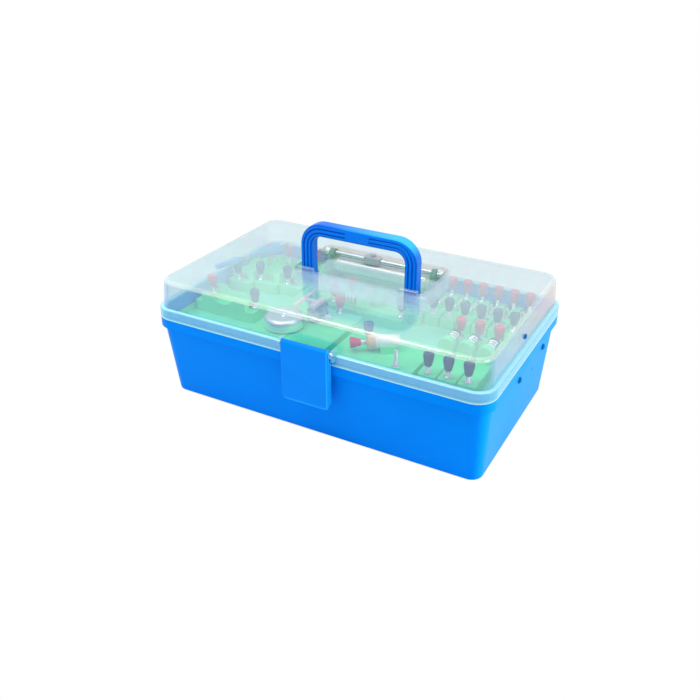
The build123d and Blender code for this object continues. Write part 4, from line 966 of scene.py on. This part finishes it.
class KIT_OT_motor(KitOperator):
    """Finish the small motor"""
    bl_idname = "kit.motor"
    bl_label = "Motor"

    def execute(self, context):
        smoothed("module_green", "motor_base")
        smoothed("nickel", "motor_shaft")
        axis = middle("motor_can") - middle("motor_hub")
        place = at(*middle("motor_can"), Matrix.Rotation(atan2(axis.y, axis.x), 4, "Z") @ lying("X"))
        low, high = ends("motor_can")
        radius = (high.z - low.z) / 2
        half = 12
        profile = rim(radius, 0, (-0.5, -half), (0, -11.5), (0, -9.2), (-0.3, -8.9), (-0.3, -8.3), (0, -8.0), (0, 7.6),
                      (-0.3, 7.9), (-0.3, 8.4), (0, 8.7), (0, 10.8), (-0.5, 11.6), (-1.4, half))
        profile = [(0, -half), *profile, (2.8, half), (2.6, 11.6), (2.2, 11.6), (0, 11.8)]
        turned("motor_can_skin", "motor_white", "motor_can", place, profile, 48)
        cap = rim(radius + 0.5, 0, (0, -half), (0, -17.4), (-0.6, -18.4), (-1.5, -19))
        cap = [(1.3, -half), *cap, (2.6, -19), (2.6, -20.2), (2.3, -20.5), (1.3, -20.5), (1.3, -half)]
        turned("motor_cap_skin", "orange_cap", "motor_cap", place, cap, 96, flutes=(8, 0.5, -17.0, -12.4))
        self.hub(place)
        return {"FINISHED"}

    def hub(self, place):
        """The tapered pulley, with ribs round its skirt and a pale collar."""
        turned("motor_hub_skin", "knob_red", "motor_hub", place, [
            (1.0, -25.2), (3.3, -25.2), (3.5, -25.6), (5.5, -33.6), (5.6, -34.2), (5.2, -34.8), (4.8, -35),
            (3.4, -35), (3.2, -33.2), (1.0, -33.2), (1.0, -25.2)], 90, flutes=(15, 0.35, -34.0, -25.8))
        turned("motor_collar", "nickel", "motor_hub", place, [
            (1.05, -21.2), (2.4, -21.2), (2.7, -21.5), (2.7, -22.3), (2.3, -22.6), (2.3, -23.2), (2.9, -23.5),
            (3.1, -24.0), (3.1, -24.9), (2.8, -25.15), (1.05, -25.15), (1.05, -21.2)], 40, "bright_metal")


class KIT_OT_clips(KitOperator):
    """Finish the crocodile clips"""
    bl_idname = "kit.clips"
    bl_label = "Crocodile clips"

    def execute(self, context):
        smoothed("clip_blue", "clip_boots")
        ribs, jaws = Solid(), Solid()
        for boot, jaw in zip(middles("clip_boots"), middles("clip_jaws")):
            span = jaw - boot
            length = 2 * span.length
            place = at(*boot, Matrix.Rotation(atan2(span.y, span.x), 4, "Z") @ at(-0.36 * length, 0, 0))
            self.ribs(ribs, length, place, 0.7 if length < 50 else 1.0)
            self.jaws(jaws, length, place)
        ribs.finish("clip_ribs", "clip_blue", "clip_boots", slot_of("clip_boots"))
        jaws.finish("clip_jaws_toothed", "nickel", "clip_jaws")
        return {"FINISHED"}

    def ribs(self, solid, length, place, size):
        """Rings along the sleeve and ridges on the two finger pads."""
        for step in range(6):
            ring = rim(0, (0.05 + 0.045 * step) * length, (2.4, 0), (2.9, 0.15), (3.1, 0.5), (3.1, 0.8), (2.9, 1.15),
                       (2.4, 1.3), (2.4, 0))
            solid.spin(ring, 24, place @ lying("X"))
        wide, inner, outer = 3.9 * size, 3.2 * size - 0.4, 4.0 * size + 0.35
        for step in range(5):
            x = (0.50 + 0.035 * step) * length
            solid.brick((x, -wide, inner), (x + 0.9, wide, outer), 0.25, place)
            solid.brick((x, -wide, -outer), (x + 0.9, wide, -inner), 0.25, place)

    def jaws(self, solid, length, place):
        """An upper and a lower jaw with meeting teeth."""
        start, bend = 0.70 * length, 0.96 * length
        outline = [(start, -2.5), (bend, -1.9), (length, -1.1), (length, 1.1), (bend, 1.9), (start, 2.5)]
        for foot in (0.7, -2.7):
            solid.plate(outline, 2.0, 0.4, place @ at(0, 0, foot))
        count, tooth = 6, 0.45
        turn = Matrix.Rotation(radians(45), 4, "Y")
        for step in range(count):
            x = start + (0.3 + 0.65 * step / count) * (length - start)
            half = 1.9 - 0.8 * step / count
            for shift, z in ((0.0, 0.75), (0.5, -0.75)):
                solid.brick((-tooth, -half, -tooth), (tooth, half, tooth), 0, place @ at(x + shift, 0, z, turn))


class KIT_OT_terminals(KitOperator):
    """Finish the terminal posts: fluted knobs on threaded studs with round nuts"""
    bl_idname = "kit.terminals"
    bl_label = "Terminal posts"

    def execute(self, context):
        sizes = context.scene.kit_sizes
        for colour in ("red", "black"):
            self.knobs(f"{colour}_terminal_knobs", f"knob_{colour}", sizes.flute_depth / MM)
        self.studs(sizes.thread_pitch / MM)
        return {"FINISHED"}

    def knobs(self, node, finish, depth):
        """Flared caps with a dished top and flutes for the fingers."""
        posts = [upright(*box) for box in solids(node)]
        _, wide, foot, top = posts[-1]
        profile = [(2.05, top - 2.4), (2.05, foot)]
        profile += rim(wide, foot, (-1.6, 0), (-1.5, 0.15), (-0.9, 3.5), (-0.75, 4.0))
        profile += rim(wide, top, (-0.1, -4.6), (0, -4.2), (0, -1.0), (-0.3, -0.4), (-1.0, 0), (-1.8, 0), (-2.2, -0.35))
        knobs = Solid()
        knob = knobs.spin(profile + [(0, top - 0.5)], 60, flutes=(15, depth, foot + 3.8, top - 0.2))
        knobs.repeat(knob, [post[0] for post in posts])
        knobs.finish(f"{node}_fluted", finish, node, angle=40)

    def studs(self, pitch):
        """Threaded posts, each with a knurled round nut on the module's roof."""
        posts = [upright(*box) for box in solids("terminal_studs")]
        foot, tip = posts[-1][2:]
        places = [post[0] for post in posts]
        seat = ends("bell_yoke")[0].z
        nut = seat + 2.5
        core, crest = 1.7, 2.0
        profile = [(0, foot), (core, foot), (crest, foot + 0.3), (crest, nut + 0.2)]
        for turn in range(int((tip - nut - 0.8) / pitch)):
            start = nut + 0.3 + turn * pitch
            profile += [(core, start + 0.25 * pitch), (crest, start + 0.6 * pitch), (crest, start + 0.75 * pitch)]
        studs, nuts = Solid(), Solid()
        studs.repeat(studs.spin(profile + [(1.6, tip), (0, tip)], 20), places)
        nuts.repeat(nuts.spin([(1.95, nut), (1.95, seat), (3.8, seat), (4.0, seat + 0.25), (4.0, nut - 0.4), (3.5, nut),
                               (1.95, nut)], 60, flutes=(20, 0.2, seat + 0.1, nut - 0.1)), places)
        studs.finish("terminal_studs_threaded", "nickel", "terminal_studs")
        nuts.finish("terminal_nuts", "nickel", "terminal_studs", slot_of("terminal_studs"))


class KIT_OT_stage(KitOperator):
    """Set the floor, the light and the camera"""
    bl_idname = "kit.stage"
    bl_label = "Stage"

    def execute(self, context):
        settings = context.scene.kit_stage
        self.floor()
        self.world(context, settings.daylight)
        self.lamp("Overhead softbox", (0.15, 0.05, 1.15), (0.0, 0.0, 0.1), settings.softbox * 0.6, (1.1, 0.8))
        self.lamp("Right softbox", (1.15, -0.1, 0.55), (0.1, 0.0, 0.08), settings.softbox * 0.7, (0.6, 0.9))
        self.lamp("Edge strip", (-0.29, -0.32, 0.90), (0.03, -0.1, 0.12), settings.softbox * 0.6, (0.42, 0.2))
        self.camera(context, settings)
        context.scene.view_settings.view_transform = "Standard"
        context.scene.cycles.transparent_max_bounces = 32
        return {"FINISHED"}

    def floor(self):
        """A plain pale floor that fades into the background a little way past the object."""
        bm = bmesh.new()
        bmesh.ops.create_grid(bm, x_segments=1, y_segments=1, size=6.0)
        floor = put("floor", mesh_of(bm, "floor"))
        g = Finish("Pale floor", Roughness=0.9, Specular_IOR_Level=0.1, Base_Color=(0.93, 0.93, 0.93, 1))
        place = g.split(g.vector)
        beyond = []
        for axis, half in (("X", 0.150), ("Y", 0.076)):
            over = g.calc("SUBTRACT", g.calc("ABSOLUTE", place[axis]), half)
            beyond.append(g.calc("POWER", g.most(over, 0.0), 2.0))
        far = g.ramp(g.calc("SQRT", g.plus(*beyond)), 0.0, 0.022)
        path = g.add("LightPath").outputs
        seen = g.most(g.most(path["Is Camera Ray"], path["Is Glossy Ray"]), path["Is Transmission Ray"])
        g.cover(g.times(far, seen), g.add("Emission", Strength=1.0))
        floor.data.materials.append(g.material)

    def world(self, context, strength):
        """Even daylight, with a white background where it is seen."""
        world = bpy.data.worlds.new("Studio")
        context.scene.world = world
        world.use_nodes = True
        g = Graph(world.node_tree)
        background = g.tree.nodes["Background"].inputs
        background["Color"].default_value = (1, 1, 1, 1)
        path = g.add("LightPath").outputs
        seen = g.most(path["Is Camera Ray"], path["Is Transmission Ray"])
        g.feed(g.ramp(seen, 0.0, 1.0, strength, 1.0), background["Strength"])

    def lamp(self, name, place, aim, power, size):
        """A soft rectangular lamp that points at a spot."""
        light = bpy.data.lights.new(name, "AREA")
        light.shape = "RECTANGLE"
        light.size, light.size_y = size
        light.energy = power
        lamp = put(name, light)
        lamp.location = place
        lamp.rotation_euler = (Vector(place) - Vector(aim)).to_track_quat("Z", "Y").to_euler()

    def camera(self, context, settings):
        """The photograph's point of view."""
        data = bpy.data.cameras.new("Camera")
        data.sensor_width = 36.0
        data.lens = settings.lens
        data.clip_start = 0.01
        camera = put("Camera", data)
        az, el = settings.azimuth, settings.elevation
        back = Vector((sin(az) * cos(el), -cos(az) * cos(el), sin(el)))
        right = Vector((cos(az), sin(az), 0.0))
        up = back.cross(right)
        turn = Matrix((right, up, back)).transposed().to_4x4() @ Matrix.Rotation(settings.roll, 4, "Z")
        camera.matrix_world = Matrix.Translation(Vector(settings.target) + back * settings.distance) @ turn
        context.scene.camera = camera


STEPS = (
    KIT_OT_stage, KIT_OT_case, KIT_OT_lid, KIT_OT_handle, KIT_OT_latch, KIT_OT_tray, KIT_OT_batteries, KIT_OT_lamps,
    KIT_OT_resistors, KIT_OT_switches, KIT_OT_bell, KIT_OT_rheostat, KIT_OT_motor, KIT_OT_clips, KIT_OT_terminals,
)


class KIT_PT_sidebar(bpy.types.Panel):
    bl_label = "Electricity kit"
    bl_idname = "KIT_PT_sidebar"
    bl_space_type = "VIEW_3D"
    bl_region_type = "UI"
    bl_category = "Kit"

    def draw(self, context):
        for group_name in ("kit_colours", "kit_sizes", "kit_stage"):
            box = self.layout.box()
            settings = getattr(context.scene, group_name)
            for key in settings.__annotations__:
                box.prop(settings, key)
        for step in STEPS:
            self.layout.operator(step.bl_idname)


CLASSES = (KitColours, KitSizes, KitStage, *STEPS, KIT_PT_sidebar)


def register():
    for item in CLASSES:
        bpy.utils.register_class(item)
    bpy.types.Scene.kit_colours = PointerProperty(type=KitColours)
    bpy.types.Scene.kit_sizes = PointerProperty(type=KitSizes)
    bpy.types.Scene.kit_stage = PointerProperty(type=KitStage)


def unregister():
    del bpy.types.Scene.kit_stage
    del bpy.types.Scene.kit_sizes
    del bpy.types.Scene.kit_colours
    for item in reversed(CLASSES):
        bpy.utils.unregister_class(item)


def main():
    """Builds the finished kit."""
    register()
    for step in STEPS:
        area, name = step.bl_idname.split(".")
        getattr(getattr(bpy.ops, area), name)()
    bpy.context.view_layer.update()


if __name__ == "__main__":
    main()
